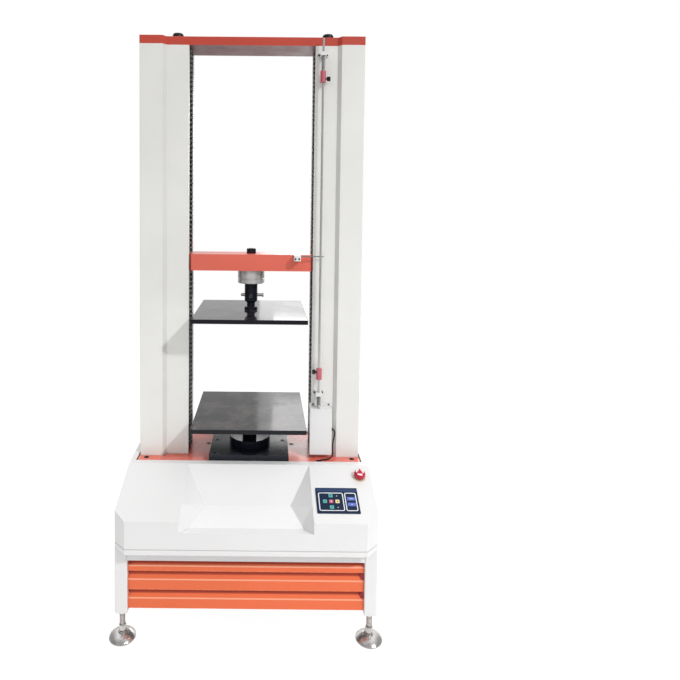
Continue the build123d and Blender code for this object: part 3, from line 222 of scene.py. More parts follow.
def scaled(tree, colour, level):
    """A colour made lighter or darker by a value, both given as (node, output) pairs."""
    made = tree.nodes.new("ShaderNodeVectorMath")
    made.operation = "SCALE"
    wire(tree, *colour, made, 0)
    wire(tree, *level, made, "Scale")
    return made


def object_place(tree):
    """The X, Y and Z of a point of the surface, on object coordinates."""
    coords = tree.nodes.new("ShaderNodeTexCoord")
    parts = tree.nodes.new("ShaderNodeSeparateXYZ")
    wire(tree, coords, "Object", parts, "Vector")
    return parts


def surface_turn(tree):
    """The X, Y and Z of the way that the surface faces."""
    surface = tree.nodes.new("ShaderNodeNewGeometry")
    parts = tree.nodes.new("ShaderNodeSeparateXYZ")
    wire(tree, surface, "True Normal", parts, "Vector")
    return parts


def build_paint_group():
    """Powder coat: slow drifts of tone, faint handling marks and orange peel."""
    tree, entry, leave = group_tree(
        "Powder Coat",
        [
            ("Colour", "NodeSocketColor", (0.8, 0.8, 0.8, 1)),
            ("Drift", "NodeSocketFloat", 0.05),
            ("Marks", "NodeSocketFloat", 0.3),
            ("Gloss", "NodeSocketFloat", 0.4),
            ("Peel", "NodeSocketFloat", 1.0),
        ],
        [("Colour", "NodeSocketColor"), ("Roughness", "NodeSocketFloat"), ("Height", "NodeSocketFloat")],
    )
    coords = tree.nodes.new("ShaderNodeTexCoord")
    slow = noise(tree, coords, scale=2.3, detail=3.0)
    tone = spread(tree, slow, "Fac", 0.3, 0.7, to_low=-1.0, to_high=1.0)
    amount = times(tree, (tone, "Result"), (entry, "Drift"))
    level = math_node(tree, "ADD", (amount, 0), 1.0)
    shade = scaled(tree, (entry, "Colour"), (level, 0))
    streaks = noise(tree, coords, scale=26.0, detail=5.0, roughness=0.7, stretch=(1.0, 1.0, 0.22))
    smear = spread(tree, streaks, "Fac", 0.62, 0.82)
    soiled = times(tree, (smear, "Result"), (entry, "Marks"))
    faint = times(tree, (soiled, 0), 0.35)
    dirty = mix_colour(tree, (faint, 0), (shade, 0), (0.30, 0.27, 0.23))
    wire(tree, dirty, 2, leave, "Colour")
    cloud = noise(tree, coords, scale=14.0, detail=4.0)
    sheen = spread(tree, cloud, "Fac", 0.3, 0.7, to_low=-0.05, to_high=0.05)
    rough = math_node(tree, "ADD", (sheen, "Result"), (entry, "Gloss"))
    rubbed = times(tree, (soiled, 0), 0.12)
    total = math_node(tree, "ADD", (rough, 0), (rubbed, 0))
    wire(tree, total, 0, leave, "Roughness")
    peel = noise(tree, coords, scale=420.0, detail=2.0)
    raised = times(tree, (peel, "Fac"), (entry, "Peel"))
    wire(tree, raised, 0, leave, "Height")
    return tree


def build_rub_and_highlight_group():
    """Bare or pale edges where a finish is rubbed through, from the turn of the surface near an edge; on the
    louvres the pale edges are a painted highlight.
    """
    tree, entry, leave = group_tree(
        "Edge Rub And Highlight",
        [
            ("Width", "NodeSocketFloat", 0.0015),
            ("Amount", "NodeSocketFloat", 0.6),
        ],
        [("Mask", "NodeSocketFloat")],
    )
    coords = tree.nodes.new("ShaderNodeTexCoord")
    rounded = tree.nodes.new("ShaderNodeBevel")
    rounded.samples = 4
    wire(tree, entry, "Width", rounded, "Radius")
    plain = tree.nodes.new("ShaderNodeNewGeometry")
    turn = tree.nodes.new("ShaderNodeVectorMath")
    turn.operation = "DOT_PRODUCT"
    wire(tree, rounded, "Normal", turn, 0)
    wire(tree, plain, "True Normal", turn, 1)
    near = spread(tree, turn, "Value", 0.985, 0.86)
    chips = noise(tree, coords, scale=90.0, detail=5.0, roughness=0.7)
    broken = spread(tree, chips, "Fac", 0.42, 0.62)
    mask = times(tree, (near, "Result"), (broken, "Result"))
    total = times(tree, (mask, 0), (entry, "Amount"))
    wire(tree, total, 0, leave, "Mask")
    return tree


def build_steel_group():
    """Ground or turned steel: fine lines along X and stained patches."""
    tree, entry, leave = group_tree(
        "Worked Steel",
        [
            ("Colour", "NodeSocketColor", (0.6, 0.6, 0.6, 1)),
            ("Stain", "NodeSocketColor", (0.2, 0.18, 0.15, 1)),
            ("Patches", "NodeSocketFloat", 0.3),
            ("Gloss", "NodeSocketFloat", 0.25),
            ("Patch Scale", "NodeSocketFloat", 9.0),
        ],
        [("Colour", "NodeSocketColor"), ("Roughness", "NodeSocketFloat"), ("Height", "NodeSocketFloat")],
    )
    coords = tree.nodes.new("ShaderNodeTexCoord")
    lines = noise(tree, coords, scale=60.0, detail=4.0, roughness=0.65, stretch=(0.35, 14.0, 14.0))
    patch = noise(tree, coords, scale=9.0, detail=5.0, roughness=0.62)
    wire(tree, entry, "Patch Scale", patch, "Scale")
    spot = spread(tree, patch, "Fac", 0.48, 0.68)
    stained = times(tree, (spot, "Result"), (entry, "Patches"))
    body = mix_colour(tree, (stained, 0), (entry, "Colour"), (entry, "Stain"))
    fine = spread(tree, lines, "Fac", 0.3, 0.7, to_low=0.86, to_high=1.08)
    lit = scaled(tree, (body, 2), (fine, "Result"))
    wire(tree, lit, 0, leave, "Colour")
    dull = times(tree, (stained, 0), 0.22)
    brushed = spread(tree, lines, "Fac", 0.3, 0.7, to_low=-0.04, to_high=0.04)
    partly = math_node(tree, "ADD", (dull, 0), (brushed, "Result"))
    total = math_node(tree, "ADD", (partly, 0), (entry, "Gloss"))
    wire(tree, total, 0, leave, "Roughness")
    wire(tree, lines, "Fac", leave, "Height")
    return tree


def build_dust_group():
    """Dust that lies on what faces up, thicker in soft patches."""
    tree, entry, leave = group_tree(
        "Settled Dust",
        [("Amount", "NodeSocketFloat", 0.3), ("Scale", "NodeSocketFloat", 18.0)],
        [("Mask", "NodeSocketFloat")],
    )
    coords = tree.nodes.new("ShaderNodeTexCoord")
    up = spread(tree, surface_turn(tree), "Z", 0.55, 0.98)
    cloud = noise(tree, coords, scale=18.0, detail=6.0, roughness=0.68)
    wire(tree, entry, "Scale", cloud, "Scale")
    thick = spread(tree, cloud, "Fac", 0.42, 0.72)
    both = times(tree, (up, "Result"), (thick, "Result"))
    total = times(tree, (both, 0), (entry, "Amount"))
    wire(tree, total, 0, leave, "Mask")
    return tree


def build_crevice_shade_group():
    """Painted shade in inside corners and narrow gaps, darker where the surface is more hidden."""
    tree, entry, leave = group_tree(
        "Painted Crevice Shade",
        [("Reach", "NodeSocketFloat", 0.012), ("Amount", "NodeSocketFloat", 0.4)],
        [("Mask", "NodeSocketFloat")],
    )
    closed = tree.nodes.new("ShaderNodeAmbientOcclusion")
    closed.samples = 6
    wire(tree, entry, "Reach", closed, "Distance")
    deep = spread(tree, closed, "AO", 0.80, 0.20)
    total = times(tree, (deep, "Result"), (entry, "Amount"))
    wire(tree, total, 0, leave, "Mask")
    return tree


groups = {}


def shared(name):
    """The shader node group of that name, built on first use."""
    makers = {
        "Powder Coat": build_paint_group,
        "Edge Rub And Highlight": build_rub_and_highlight_group,
        "Worked Steel": build_steel_group,
        "Settled Dust": build_dust_group,
        "Painted Crevice Shade": build_crevice_shade_group,
    }
    if name not in groups:
        groups[name] = makers[name]()
    return groups[name]


def place_group(tree, name, **sockets):
    """Puts a shared group into a material with its own values."""
    made = tree.nodes.new("ShaderNodeGroup")
    made.node_tree = shared(name)
    for key, value in sockets.items():
        made.inputs[key.replace("_", " ")].default_value = value
    return made


def blank(name, **plain):
    """A material with a Principled shader, whose constant values are on its own sockets."""
    made = bpy.data.materials.new(name)
    made.use_nodes = True
    tree = made.node_tree
    shader = tree.nodes["Principled BSDF"]
    for key, value in plain.items():
        shader.inputs[key.replace("_", " ")].default_value = value
    return made, tree, shader


def bump(tree, shader, source, output, distance, strength=1.0):
    """A bump from a height in a material."""
    made = node(tree, "ShaderNodeBump", Strength=strength, Distance=distance)
    wire(tree, source, output, made, "Height")
    wire(tree, made, "Normal", shader, "Normal")
    return made


def layer(tree, last, name, colour, **sockets):
    """Lays a colour over the last one where a shared group's mask says so."""
    mask = place_group(tree, name, **sockets)
    return mix_colour(tree, (mask, "Mask"), last, colour), 2


def bend_shade(tree, last, amount):
    """Painted shade: a greyer tone on the faces that stand aslant between the front and the sides."""
    side = absolute(tree, surface_turn(tree), "X")
    near = spread(tree, side, 0, 0.45, 0.60)
    past = spread(tree, side, 0, 0.97, 0.90)
    both = times(tree, (near, "Result"), (past, "Result"))
    share = times(tree, (both, 0), amount)
    return mix_colour(tree, (share, 0), last, (0.35, 0.35, 0.34)), 2


def painted_underside_shade(tree, last, colour):
    """Painted shade: another tone on the faces that look down."""
    share = spread(tree, surface_turn(tree), "Z", -0.6, -0.9)
    return mix_colour(tree, (share, "Result"), last, colour), 2


def bare_end(tree, last, start, colour):
    """Bare metal on what lies past a place along X."""
    edge = 0.0005
    share = spread(tree, object_place(tree), "X", start, start + edge)
    return mix_colour(tree, (share, "Result"), last, colour), 2


def fold_lines(tree, last, heights, width, colour):
    """Painted highlight and shade lines: a line of another tone along each fold that lies at one of the
    heights.
    """
    strength = 0.8
    place = object_place(tree)
    for height in heights:
        away = math_node(tree, "SUBTRACT", (place, "Z"), height)
        apart = absolute(tree, away, 0)
        line = spread(tree, apart, 0, width, width / 3)
        share = times(tree, (line, "Result"), strength)
        last = mix_colour(tree, (share, 0), last, colour), 2
    return last


def painted_tray_light(tree, last, colour):
    """Painted light: a paler floor in the specimen tray, as if lit more from above."""
    low, low_edge = 0.3550, 0.0050
    high, high_edge = 0.4050, 0.0030
    place = object_place(tree)
    under = spread(tree, place, "Z", high, high - high_edge)
    over = spread(tree, place, "Z", low, low + low_edge)
    up = spread(tree, surface_turn(tree), "Z", 0.82, 0.90)
    level = times(tree, (under, "Result"), (over, "Result"))
    share = times(tree, (level, 0), (up, "Result"))
    return mix_colour(tree, (share, 0), last, colour), 2


def wear_and_painted_light(tree, last, rub_and_highlight, dust, crevice):
    """Rubbed edges and painted edge highlights, settled dust, and painted shade in corners and gaps over the
    last colour, each where its values are given.
    """
    if rub_and_highlight:
        width, amount, colour = rub_and_highlight
        last = layer(tree, last, "Edge Rub And Highlight", colour, Width=width, Amount=amount)
    if dust:
        amount, scale, colour = dust
        last = layer(tree, last, "Settled Dust", colour, Amount=amount, Scale=scale)
    if crevice:
        reach, amount, colour = crevice
        last = layer(tree, last, "Painted Crevice Shade", colour, Reach=reach, Amount=amount)
    return last


def coat_group(tree, colour, drift, marks, gloss, peel):
    """The shared powder coat with its values."""
    return place_group(
        tree, "Powder Coat", Colour=(*colour, 1), Drift=drift, Marks=marks, Gloss=gloss, Peel=peel
    )


def painted(
    name, colour, gloss=0.4, drift=0.04, marks=0.25, rub_and_highlight=None, dust=None, coat=0.0, crevice=None,
    bevel_shade=0.0, tray=None, folds=(), under=None, bare=None,
):
    """A powder coated or painted surface, with wear and tones of its own, and with painted light and shade,
    where asked for.
    """
    made, tree, shader = blank(name, Coat_Weight=coat, Coat_Roughness=0.12)
    skin = coat_group(tree, colour, drift, marks, gloss, peel=1.0)
    last = (skin, "Colour")
    if bevel_shade:
        last = bend_shade(tree, last, bevel_shade)
    if tray:
        last = painted_tray_light(tree, last, tray)
    for heights, width, tone in folds:
        last = fold_lines(tree, last, heights, width, tone)
    if under:
        last = painted_underside_shade(tree, last, under)
    if bare:
        last = bare_end(tree, last, *bare)
    last = wear_and_painted_light(tree, last, rub_and_highlight, dust, crevice)
    wire(tree, *last, shader, "Base Color")
    wire(tree, skin, "Roughness", shader, "Roughness")
    bump(tree, shader, skin, "Height", distance=0.00012, strength=0.5)
    return made


def steel(
    name, colour, stain, patches=0.3, gloss=0.25, scale=9.0, metal=1.0, rub_and_highlight=None, dust=None, grain=0.00004,
    crevice=None, shine=0.5,
):
    """A worked metal surface, with wear and painted crevice shade where asked for."""
    made, tree, shader = blank(name, Metallic=metal, Specular_IOR_Level=shine)
    skin = place_group(
        tree, "Worked Steel", Colour=(*colour, 1), Stain=(*stain, 1), Patches=patches, Gloss=gloss,
        Patch_Scale=scale,
    )
    last = wear_and_painted_light(tree, (skin, "Colour"), rub_and_highlight, dust, crevice)
    wire(tree, *last, shader, "Base Color")
    wire(tree, skin, "Roughness", shader, "Roughness")
    bump(tree, shader, skin, "Height", distance=grain, strength=0.4)
    return made


def moulded(name, colour, gloss=0.4, drift=0.05, depth=0.0001, shine=0.5):
    """Moulded plastic or rubber with a fine grain."""
    made, tree, shader = blank(name, Specular_IOR_Level=shine)
    skin = coat_group(tree, colour, drift, marks=0.15, gloss=gloss, peel=0.2)
    wire(tree, skin, "Colour", shader, "Base Color")
    wire(tree, skin, "Roughness", shader, "Roughness")
    coords = tree.nodes.new("ShaderNodeTexCoord")
    pits = noise(tree, coords, scale=1280.0, detail=3.0)
    bump(tree, shader, pits, "Fac", distance=depth, strength=0.5)
    return made


def screw_steel(name, colour, pitch):
    """Ground steel with the ridges of a thread, one above the other along Z."""
    made, tree, shader = blank(name, Metallic=1.0)
    skin = place_group(
        tree, "Worked Steel", Colour=(*colour, 1), Patches=0.25, Gloss=0.22, Patch_Scale=14.0
    )
    wire(tree, skin, "Colour", shader, "Base Color")
    wire(tree, skin, "Roughness", shader, "Roughness")
    coords = tree.nodes.new("ShaderNodeTexCoord")
    ridge = node(tree, "ShaderNodeTexWave", Scale=1.0 / (pitch * 20.0))
    ridge.bands_direction = "Z"
    wire(tree, coords, "Object", ridge, "Vector")
    bump(tree, shader, ridge, "Fac", distance=0.0015, strength=0.8)
    return made


def pleated(name, colour, wear_and_painted_light, ridge, middle_y, half):
    """Black pleated sheet, with a painted highlight of pale grey along the middle of each outer fold."""
    made, tree, shader = blank(name, Specular_IOR_Level=0.12)
    skin = coat_group(tree, colour, drift=0.3, marks=0.0, gloss=0.62, peel=0.2)
    highlight_end, highlight_start = ridge + 0.0042, ridge + 0.0030
    parts = object_place(tree)
    out = absolute(tree, parts, "X")
    fold = spread(tree, out, 0, highlight_end, highlight_start)
    shift = math_node(tree, "SUBTRACT", (parts, "Y"), middle_y)
    across = absolute(tree, shift, 0)
    band = spread(tree, across, 0, half * 1.15, half * 0.85)
    both = times(tree, (fold, "Result"), (band, "Result"))
    last = mix_colour(tree, (both, 0), (skin, "Colour"), wear_and_painted_light)
    wire(tree, last, 2, shader, "Base Color")
    wire(tree, skin, "Roughness", shader, "Roughness")
    return made


# Places that a finish shares with a piece, in metres
pleat_gap = 0.0026
louvre_rows = (0.1380, 0.2000)

finishes = {}


def pleat_line(high, sizes):
    """How far the outer folds of the slot covers lie from the middle plane of the machine."""
    return high.x - sizes.pleat_depth - pleat_gap


def make_finishes(colours, sizes):
    """All the finishes of the machine, by name."""
    white = tuple(colours.cover_white)
    tall = tuple(colours.column_white)
    red = tuple(colours.beam_shaded_red)
    black = tuple(colours.black_oxide)
    chip = (0.80, 0.35, 0.28)
    # grey of the painted shade in corners and gaps of the white parts
    crevice_shade_grey = (0.20, 0.19, 0.17)
    # deep red of the painted shade in corners and gaps of the red parts
    deep_red = (0.16, 0.010, 0.010)
    pale_dust = (0.62, 0.58, 0.54)
    pleat_low, pleat_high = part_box("upper_bellows")
    finger_block, louvre_mouth, louvre_top, louvre_top_mouth = 0.0242, 0.0165, 0.2455, 0.2540
    finger_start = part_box("limit_finger")[0].x + finger_block
    # heights of the painted highlight lines on the louvre folds, and of the painted shade lines under their
    # ledges
    louvre_highlight_lines = (*louvre_rows, louvre_top)
    louvre_shades = (*(row + louvre_mouth for row in louvre_rows), louvre_top_mouth)
    finishes.update(
        # cover: the tray colour is painted light on the tray's floor, and the crevice grey is painted shade
        cover=painted(
            "cover_white", white, gloss=0.36, drift=0.018, marks=0.10,
            rub_and_highlight=(0.002, 0.25, (0.9, 0.9, 0.9)), crevice=(0.006, 0.55, crevice_shade_grey), tray=(0.91, 0.91, 0.915),
        ),
        # columns: the greyer bevels are painted shade, and so is the crevice grey
        column=painted(
            "column_white", tall, gloss=0.42, drift=0.03, marks=0.22,
            rub_and_highlight=(0.002, 0.2, (0.88, 0.88, 0.86)), crevice=(0.012, 0.5, crevice_shade_grey), bevel_shade=0.22,
        ),
        stand=painted("stand_white", white, gloss=0.36, drift=0.02, marks=0.16, crevice=(0.008, 0.5, crevice_shade_grey)),
        finger=painted(
            "finger_white", white, gloss=0.36, drift=0.02, marks=0.10, crevice=(0.008, 0.5, crevice_shade_grey),
            bare=(finger_start, (0.20, 0.20, 0.205)),
        ),
        # beam: the under colour is painted shade on the faces that look down, and the crevice red is painted
        # shade
        red=painted(
            "beam_shaded_red", red, gloss=0.46, drift=0.05, marks=0.12, under=(0.15, 0.035, 0.038),
            rub_and_highlight=(0.0014, 0.35, chip), crevice=(0.010, 0.6, deep_red),
        ),
        crosshead=painted(
            "crosshead_red", tuple(colours.crosshead_red), gloss=0.34, drift=0.06, marks=0.12,
            rub_and_highlight=(0.0014, 0.45, (0.88, 0.45, 0.36)), coat=0.15, crevice=(0.010, 0.6, deep_red),
        ),
        table=painted(
            "plate_red", tuple(colours.crosshead_red), gloss=0.30, drift=0.07, marks=0.25,
            rub_and_highlight=(0.0014, 0.4, chip), dust=(0.25, 16.0, pale_dust), coat=0.2, crevice=(0.010, 0.4, deep_red),
        ),
        # louvres: the pale rub and the bright fold lines are painted highlights; the dark fold lines and the
        # crevice red are painted shade under the ledges
        orange=painted(
            "louvre_orange", tuple(colours.louvre_orange), gloss=0.4, drift=0.05, marks=0.18,
            rub_and_highlight=(0.0035, 0.75, (0.95, 0.42, 0.27)), crevice=(0.024, 1.0, (0.34, 0.028, 0.010)),
            folds=(
                (louvre_highlight_lines, 0.0030, (0.98, 0.46, 0.30)),
                (louvre_shades, 0.0052, (0.32, 0.026, 0.010)),
            ),
        ),
        # dark red of the painted shade in the louvres' open ends
        louvre_end=painted("louvre_end", (0.30, 0.012, 0.022), gloss=0.45, drift=0.15, marks=0.2),
        platen=steel(
            "blued_platen", tuple(colours.plate_blue), (0.017, 0.015, 0.015),
            patches=0.6, gloss=0.09, scale=7.0, metal=0.0, rub_and_highlight=(0.0008, 0.5, (0.16, 0.16, 0.17)),
            dust=(0.30, 9.0, (0.28, 0.22, 0.195)), grain=0.000004, shine=0.22,
        ),
        oxide=steel(
            "black_oxide", black, (0.016, 0.017, 0.024), patches=0.4, gloss=0.22, scale=24.0,
            metal=0.0, rub_and_highlight=(0.0010, 0.4, (0.14, 0.15, 0.18)), grain=0.00001, shine=0.34,
        ),
        frame_black=painted("frame_black", (0.03, 0.03, 0.033), gloss=0.5, drift=0.1, marks=0.3),
        cell=steel(
            "nickel_cell", (0.82, 0.81, 0.80), (0.60, 0.57, 0.54),
            patches=0.3, gloss=0.20, scale=16.0, metal=0.55,
        ),
        bright=steel(
            "bright_steel", (0.82, 0.82, 0.82), (0.52, 0.50, 0.48),
            patches=0.25, gloss=0.14, scale=30.0, metal=0.7,
        ),
        rod=steel(
            "drawn_rod", (0.62, 0.62, 0.63), (0.36, 0.35, 0.34),
            patches=0.3, gloss=0.20, scale=30.0, metal=0.55,
        ),
        spring=steel(
            "spring_steel", (0.26, 0.26, 0.27), (0.15, 0.15, 0.15),
            patches=0.3, gloss=0.25, scale=60.0, metal=0.6,
        ),
        # pedestal seat: its near-white colour is a painted reflection of the polished steel
        polished=steel(
            "seat_painted_reflection", (0.92, 0.92, 0.93), (0.80, 0.79, 0.78),
            patches=0.2, gloss=0.26, scale=30.0, metal=0.1,
        ),
        # feet: the crevice colour is painted shade on their inner sides and in corners
        stainless=steel(
            "polished_foot", (0.74, 0.72, 0.71), (0.36, 0.30, 0.26),
            patches=0.45, gloss=0.20, scale=34.0, metal=0.9,
            rub_and_highlight=(0.003, 0.7, (0.62, 0.48, 0.33)), crevice=(0.045, 0.8, (0.06, 0.055, 0.05)),
        ),
        ground=screw_steel("ground_screw", (0.55, 0.55, 0.56), pitch=0.01),
        bronze=steel("bronze_bush", (0.58, 0.38, 0.16), (0.25, 0.16, 0.07), patches=0.4, gloss=0.3),
        alloy=steel("drive_alloy", (0.55, 0.56, 0.58), (0.35, 0.35, 0.35), patches=0.3, gloss=0.38),
        motor=painted("motor_grey", (0.10, 0.11, 0.13), gloss=0.45, drift=0.08, marks=0.3),
        # bellows: the pale grey is a painted highlight along the outer folds
        bellows=pleated(
            "bellows_black", (0.0035, 0.0035, 0.0037), (0.125, 0.125, 0.125),
            ridge=pleat_line(pleat_high, sizes), middle_y=(pleat_low.y + pleat_high.y) / 2,
            half=(pleat_high.y - pleat_low.y) / 8,
        ),
        belt=moulded("belt_rubber", (0.016, 0.016, 0.017), gloss=0.6, drift=0.2),
        cable=moulded("cable_black", (0.005, 0.005, 0.0055), gloss=0.5, drift=0.2),
        black_plastic=moulded("black_plastic", (0.010, 0.010, 0.011), gloss=0.36, drift=0.2),
        collar=steel(
            "collar_red", tuple(colours.collar_red), (0.40, 0.05, 0.07),
            patches=0.2, gloss=0.30, scale=40.0, metal=0.3,
        ),
        navy=moulded("keypad_navy", tuple(colours.keypad_navy), gloss=0.34, drift=0.06, shine=0.15),
        strip=moulded("keypad_strip", (0.026, 0.056, 0.140), gloss=0.34, drift=0.06, shine=0.2),
        outline=moulded("keypad_outline", (0.86, 0.88, 0.92), gloss=0.4, drift=0.04),
        lamp=moulded("keypad_lamp", (0.70, 0.72, 0.70), gloss=0.2, drift=0.02),
        teal=moulded("key_teal", (0.10, 0.45, 0.40), gloss=0.35, drift=0.06),
        pink=moulded("key_pink", (0.62, 0.09, 0.20), gloss=0.35, drift=0.06),
        cream=moulded("key_cream", (0.83, 0.72, 0.36), gloss=0.35, drift=0.05),
        blue=moulded("key_blue", (0.11, 0.17, 0.56), gloss=0.35, drift=0.06),
        stop=moulded("stop_red", tuple(colours.stop_red), gloss=0.18, drift=0.05, depth=0.00003),
        stop_ring=moulded("stop_ring", (0.62, 0.54, 0.36), gloss=0.4, drift=0.08),
        stop_mark=moulded("stop_mark", (0.86, 0.84, 0.84), gloss=0.35, drift=0.03),
        print_white=moulded("mark_white", (0.75, 0.76, 0.76), gloss=0.4, drift=0.03),
        screw_dark=steel(
            "screw_dark", (0.03, 0.03, 0.033), (0.08, 0.07, 0.06),
            patches=0.4, gloss=0.35, scale=60.0, metal=0.7,
        ),
        screw_zinc=steel(
            "screw_zinc", (0.62, 0.61, 0.57), (0.45, 0.40, 0.30), patches=0.3, gloss=0.25, scale=60.0
        ),
    )


# Which finish each carried-over part takes
node_finish = {
    "cover": ["front_cover", "side_covers", "rear_cover"],
    "column": ["left_column", "right_column"],
    "stand": ["stand_frame", "rod_brackets", "switch_box"],
    "finger": ["limit_finger"],
    "red": ["top_beam"],
    "crosshead": ["crosshead"],
    "table": ["base_plate"],
    "orange": ["louvre_panel"],
    "platen": ["upper_platen", "lower_platen"],
    "oxide": ["coupling_sleeve", "platen_stem", "pedestal", "adapter_plate", "load_cell_bolt"],
    "frame_black": ["base_frame"],
    "cell": ["load_cell"],
    "bright": ["coupling_pin", "guide_posts"],
    "rod": ["limit_rod"],
    "stainless": [
        "foot_front_left", "foot_front_right", "foot_rear_left", "foot_rear_right", "foot_lock_nuts"
    ],
    "ground": ["left_screw", "right_screw"],
    "alloy": ["motor_drive", "drive_pulley", "ball_nuts", "screw_bearings"],
    "motor": ["drive_motor"],
    "bronze": ["guide_bushes"],
    "belt": ["drive_belt", "sync_belt"],
    "black_plastic": ["screw_caps", "upper_collar_screw", "lower_collar_screw"],
    "collar": ["upper_collar", "lower_collar"],
    "navy": ["keypad_panel"],
    "teal": ["key_up", "key_left", "key_down"],
    "pink": ["key_stop"],
    "cream": ["key_right"],
    "blue": ["key_fast", "key_slow"],
    "stop": ["emergency_stop_head"],
    "stop_ring": ["emergency_stop_base"],
    "screw_dark": ["table_bolts"],
}


# Mesh helpers

def settle(bm, name, finish, body=None, smooth=35.0):
    """Makes a finished piece of a mesh: merged, facing outwards, named and riding on its body."""
    bmesh.ops.remove_doubles(bm, verts=bm.verts, dist=1e-6)
    bmesh.ops.recalc_face_normals(bm, faces=bm.faces)
    mesh = bpy.data.meshes.new(name)
    bm.to_mesh(mesh)
    bm.free()
    mesh.materials.append(finishes[finish])
    mesh.shade_smooth()
    mesh.set_sharp_from_angle(angle=radians(smooth))
    piece = bpy.data.objects.new(name, mesh)
    bpy.context.scene.collection.objects.link(piece)
    if body:
        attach(piece, body)
    return piece


def facing(place, outward, along=(1, 0, 0)):
    """The matrix of a seat at a place, whose Z points outwards and whose X runs nearly along a direction."""
    out = Vector(outward).normalized()
    side = Vector(along)
    side = (side - out * side.dot(out)).normalized()
    rise = out.cross(side)
    turn = Matrix((side, rise, out)).transposed().to_4x4()
    return Matrix.Translation(Vector(place)) @ turn


def shifted(seat, across, along, lift=0.0):
    """A seat moved in its own plane, and off it by a lift."""
    return seat @ Matrix.Translation((across, along, lift))


def middle(name):
    """Centre of a CAD part's box."""
    low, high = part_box(name)
    return (low + high) / 2


def corners_in(geom):
    """The vertices among what an operator made."""
    return [part for part in geom if isinstance(part, bmesh.types.BMVert)]


def edges_at(verts):
    """The edges that meet the vertices, each once."""
    return list(dict.fromkeys(e for v in verts for e in v.link_edges))


def push_out(bm, edges, way):
    """Extrudes edges along a way, and gives the new corners and the far edges."""
    grown = bmesh.ops.extrude_edge_only(bm, edges=edges)["geom"]
    corners = corners_in(grown)
    bmesh.ops.translate(bm, vec=way, verts=corners)
    far = [e for e in grown if isinstance(e, bmesh.types.BMEdge) and all(v in corners for v in e.verts)]
    return corners, far


def thicken(bm, faces, lift):
    """Gives flat faces a thickness along Z."""
    raised = bmesh.ops.extrude_face_region(bm, geom=faces, use_keep_orig=True)["geom"]
    bmesh.ops.translate(bm, vec=(0, 0, lift), verts=corners_in(raised))


def lathe(bm, seat, outline, steps=24, closed=False):
    """Spins an outline of (radius, height) points about the Z axis of a seat, closed first if asked."""
    points = [*outline, *outline[:1]] if closed else outline
    line = [bm.verts.new((radius, 0, height)) for radius, height in points]
    edges = [bm.edges.new(pair) for pair in zip(line, line[1:])]
    before = set(bm.verts) - set(line)
    bmesh.ops.spin(
        bm, geom=line + edges, cent=(0, 0, 0), axis=(0, 0, 1), angle=2 * pi, steps=steps, use_merge=True
    )
    made = [v for v in bm.verts if v not in before]
    bmesh.ops.transform(bm, matrix=seat, verts=made)
    bmesh.ops.remove_doubles(bm, verts=made, dist=1e-7)


def socket_screw(bm, seat, radius, height):
    """A socket head screw: a chamfered round head with a six-sided hole."""
    side_share, chamfer_share, top_share = 0.8, 0.2, 0.86
    key_share, key_depth = 0.52, 0.6
    out = seat.to_3x3() @ Vector((0, 0, 1))
    ring = bmesh.ops.create_circle(bm, cap_ends=False, segments=20, radius=radius, matrix=seat)
    floor = edges_at(ring["verts"])
    shoulder = push_out(bm, floor, out * height * side_share)[1]
    corners, rim = push_out(bm, shoulder, out * height * chamfer_share)
    top = Matrix.Translation(-(seat.to_translation() + out * height))
    bmesh.ops.scale(bm, vec=(top_share, top_share, top_share), space=top, verts=corners)
    key = bmesh.ops.create_circle(
        bm, cap_ends=False, segments=6, radius=radius * key_share, matrix=shifted(seat, 0, 0, height)
    )
    hole = edges_at(key["verts"])
    bmesh.ops.bridge_loops(bm, edges=rim + hole)
    bottom = push_out(bm, hole, -out * height * key_depth)[1]
    bmesh.ops.edgeloop_fill(bm, edges=bottom)
    bmesh.ops.edgeloop_fill(bm, edges=floor)


def tablet(bm, seat, width, depth, corner, lift, rim=None):
    """A thin plate with rounded corners on a seat, or only its rim."""
    held = set(bm.verts)
    corners = bmesh.ops.create_grid(bm, x_segments=1, y_segments=1, size=0.5)["verts"]
    bmesh.ops.scale(bm, vec=(width, depth, 1), verts=corners)
    bmesh.ops.bevel(bm, geom=corners, offset=corner, affect="VERTICES", segments=5, profile=0.5, material=-1)
    face = next(f for f in bm.faces if held.isdisjoint(f.verts))
    if rim:
        bmesh.ops.inset_region(bm, faces=[face], thickness=rim, use_boundary=True, use_even_offset=True)
        bmesh.ops.delete(bm, geom=[face], context="FACES")
    thicken(bm, [f for f in bm.faces if held.isdisjoint(f.verts)], lift)
    bmesh.ops.transform(bm, matrix=seat, verts=[v for v in bm.verts if v not in held])


def helix(bm, centre, rise, turns, section, steps=24):
    """Spins a section of edges along a helix about an upright axis and closes its ends."""
    count = int(turns * steps)
    bmesh.ops.spin(
        bm, geom=section, cent=centre, axis=(0, 0, 1), dvec=(0, 0, rise / count),
        angle=2 * pi * turns, steps=count, use_merge=False,
    )
    bmesh.ops.holes_fill(bm, edges=[e for e in bm.edges if e.is_boundary], sides=12)


def front_slope():
    """Turn of the sloping front, from the way the emergency stop is pushed."""
    push = next(j for j in frame["joints"] if j["name"] == "emergency_stop_push")
    return facing((0, 0, 0), -Vector(push["axis"])).to_3x3()


def slope_seat(name, tilt, skin=None):
    """Seat on a part of the sloping front, in the middle of the part or of its outermost skin."""
    local = [tilt.transposed() @ v.co for v in frame["nodes"][name].data.vertices]
    top = max(p.z for p in local)
    if skin:
        local = [p for p in local if p.z > top - skin]
    across = [p.x for p in local]
    along = [p.y for p in local]
    place = Vector(((min(across) + max(across)) / 2, (min(along) + max(along)) / 2, top))
    return Matrix.Translation(tilt @ place) @ tilt.to_4x4()


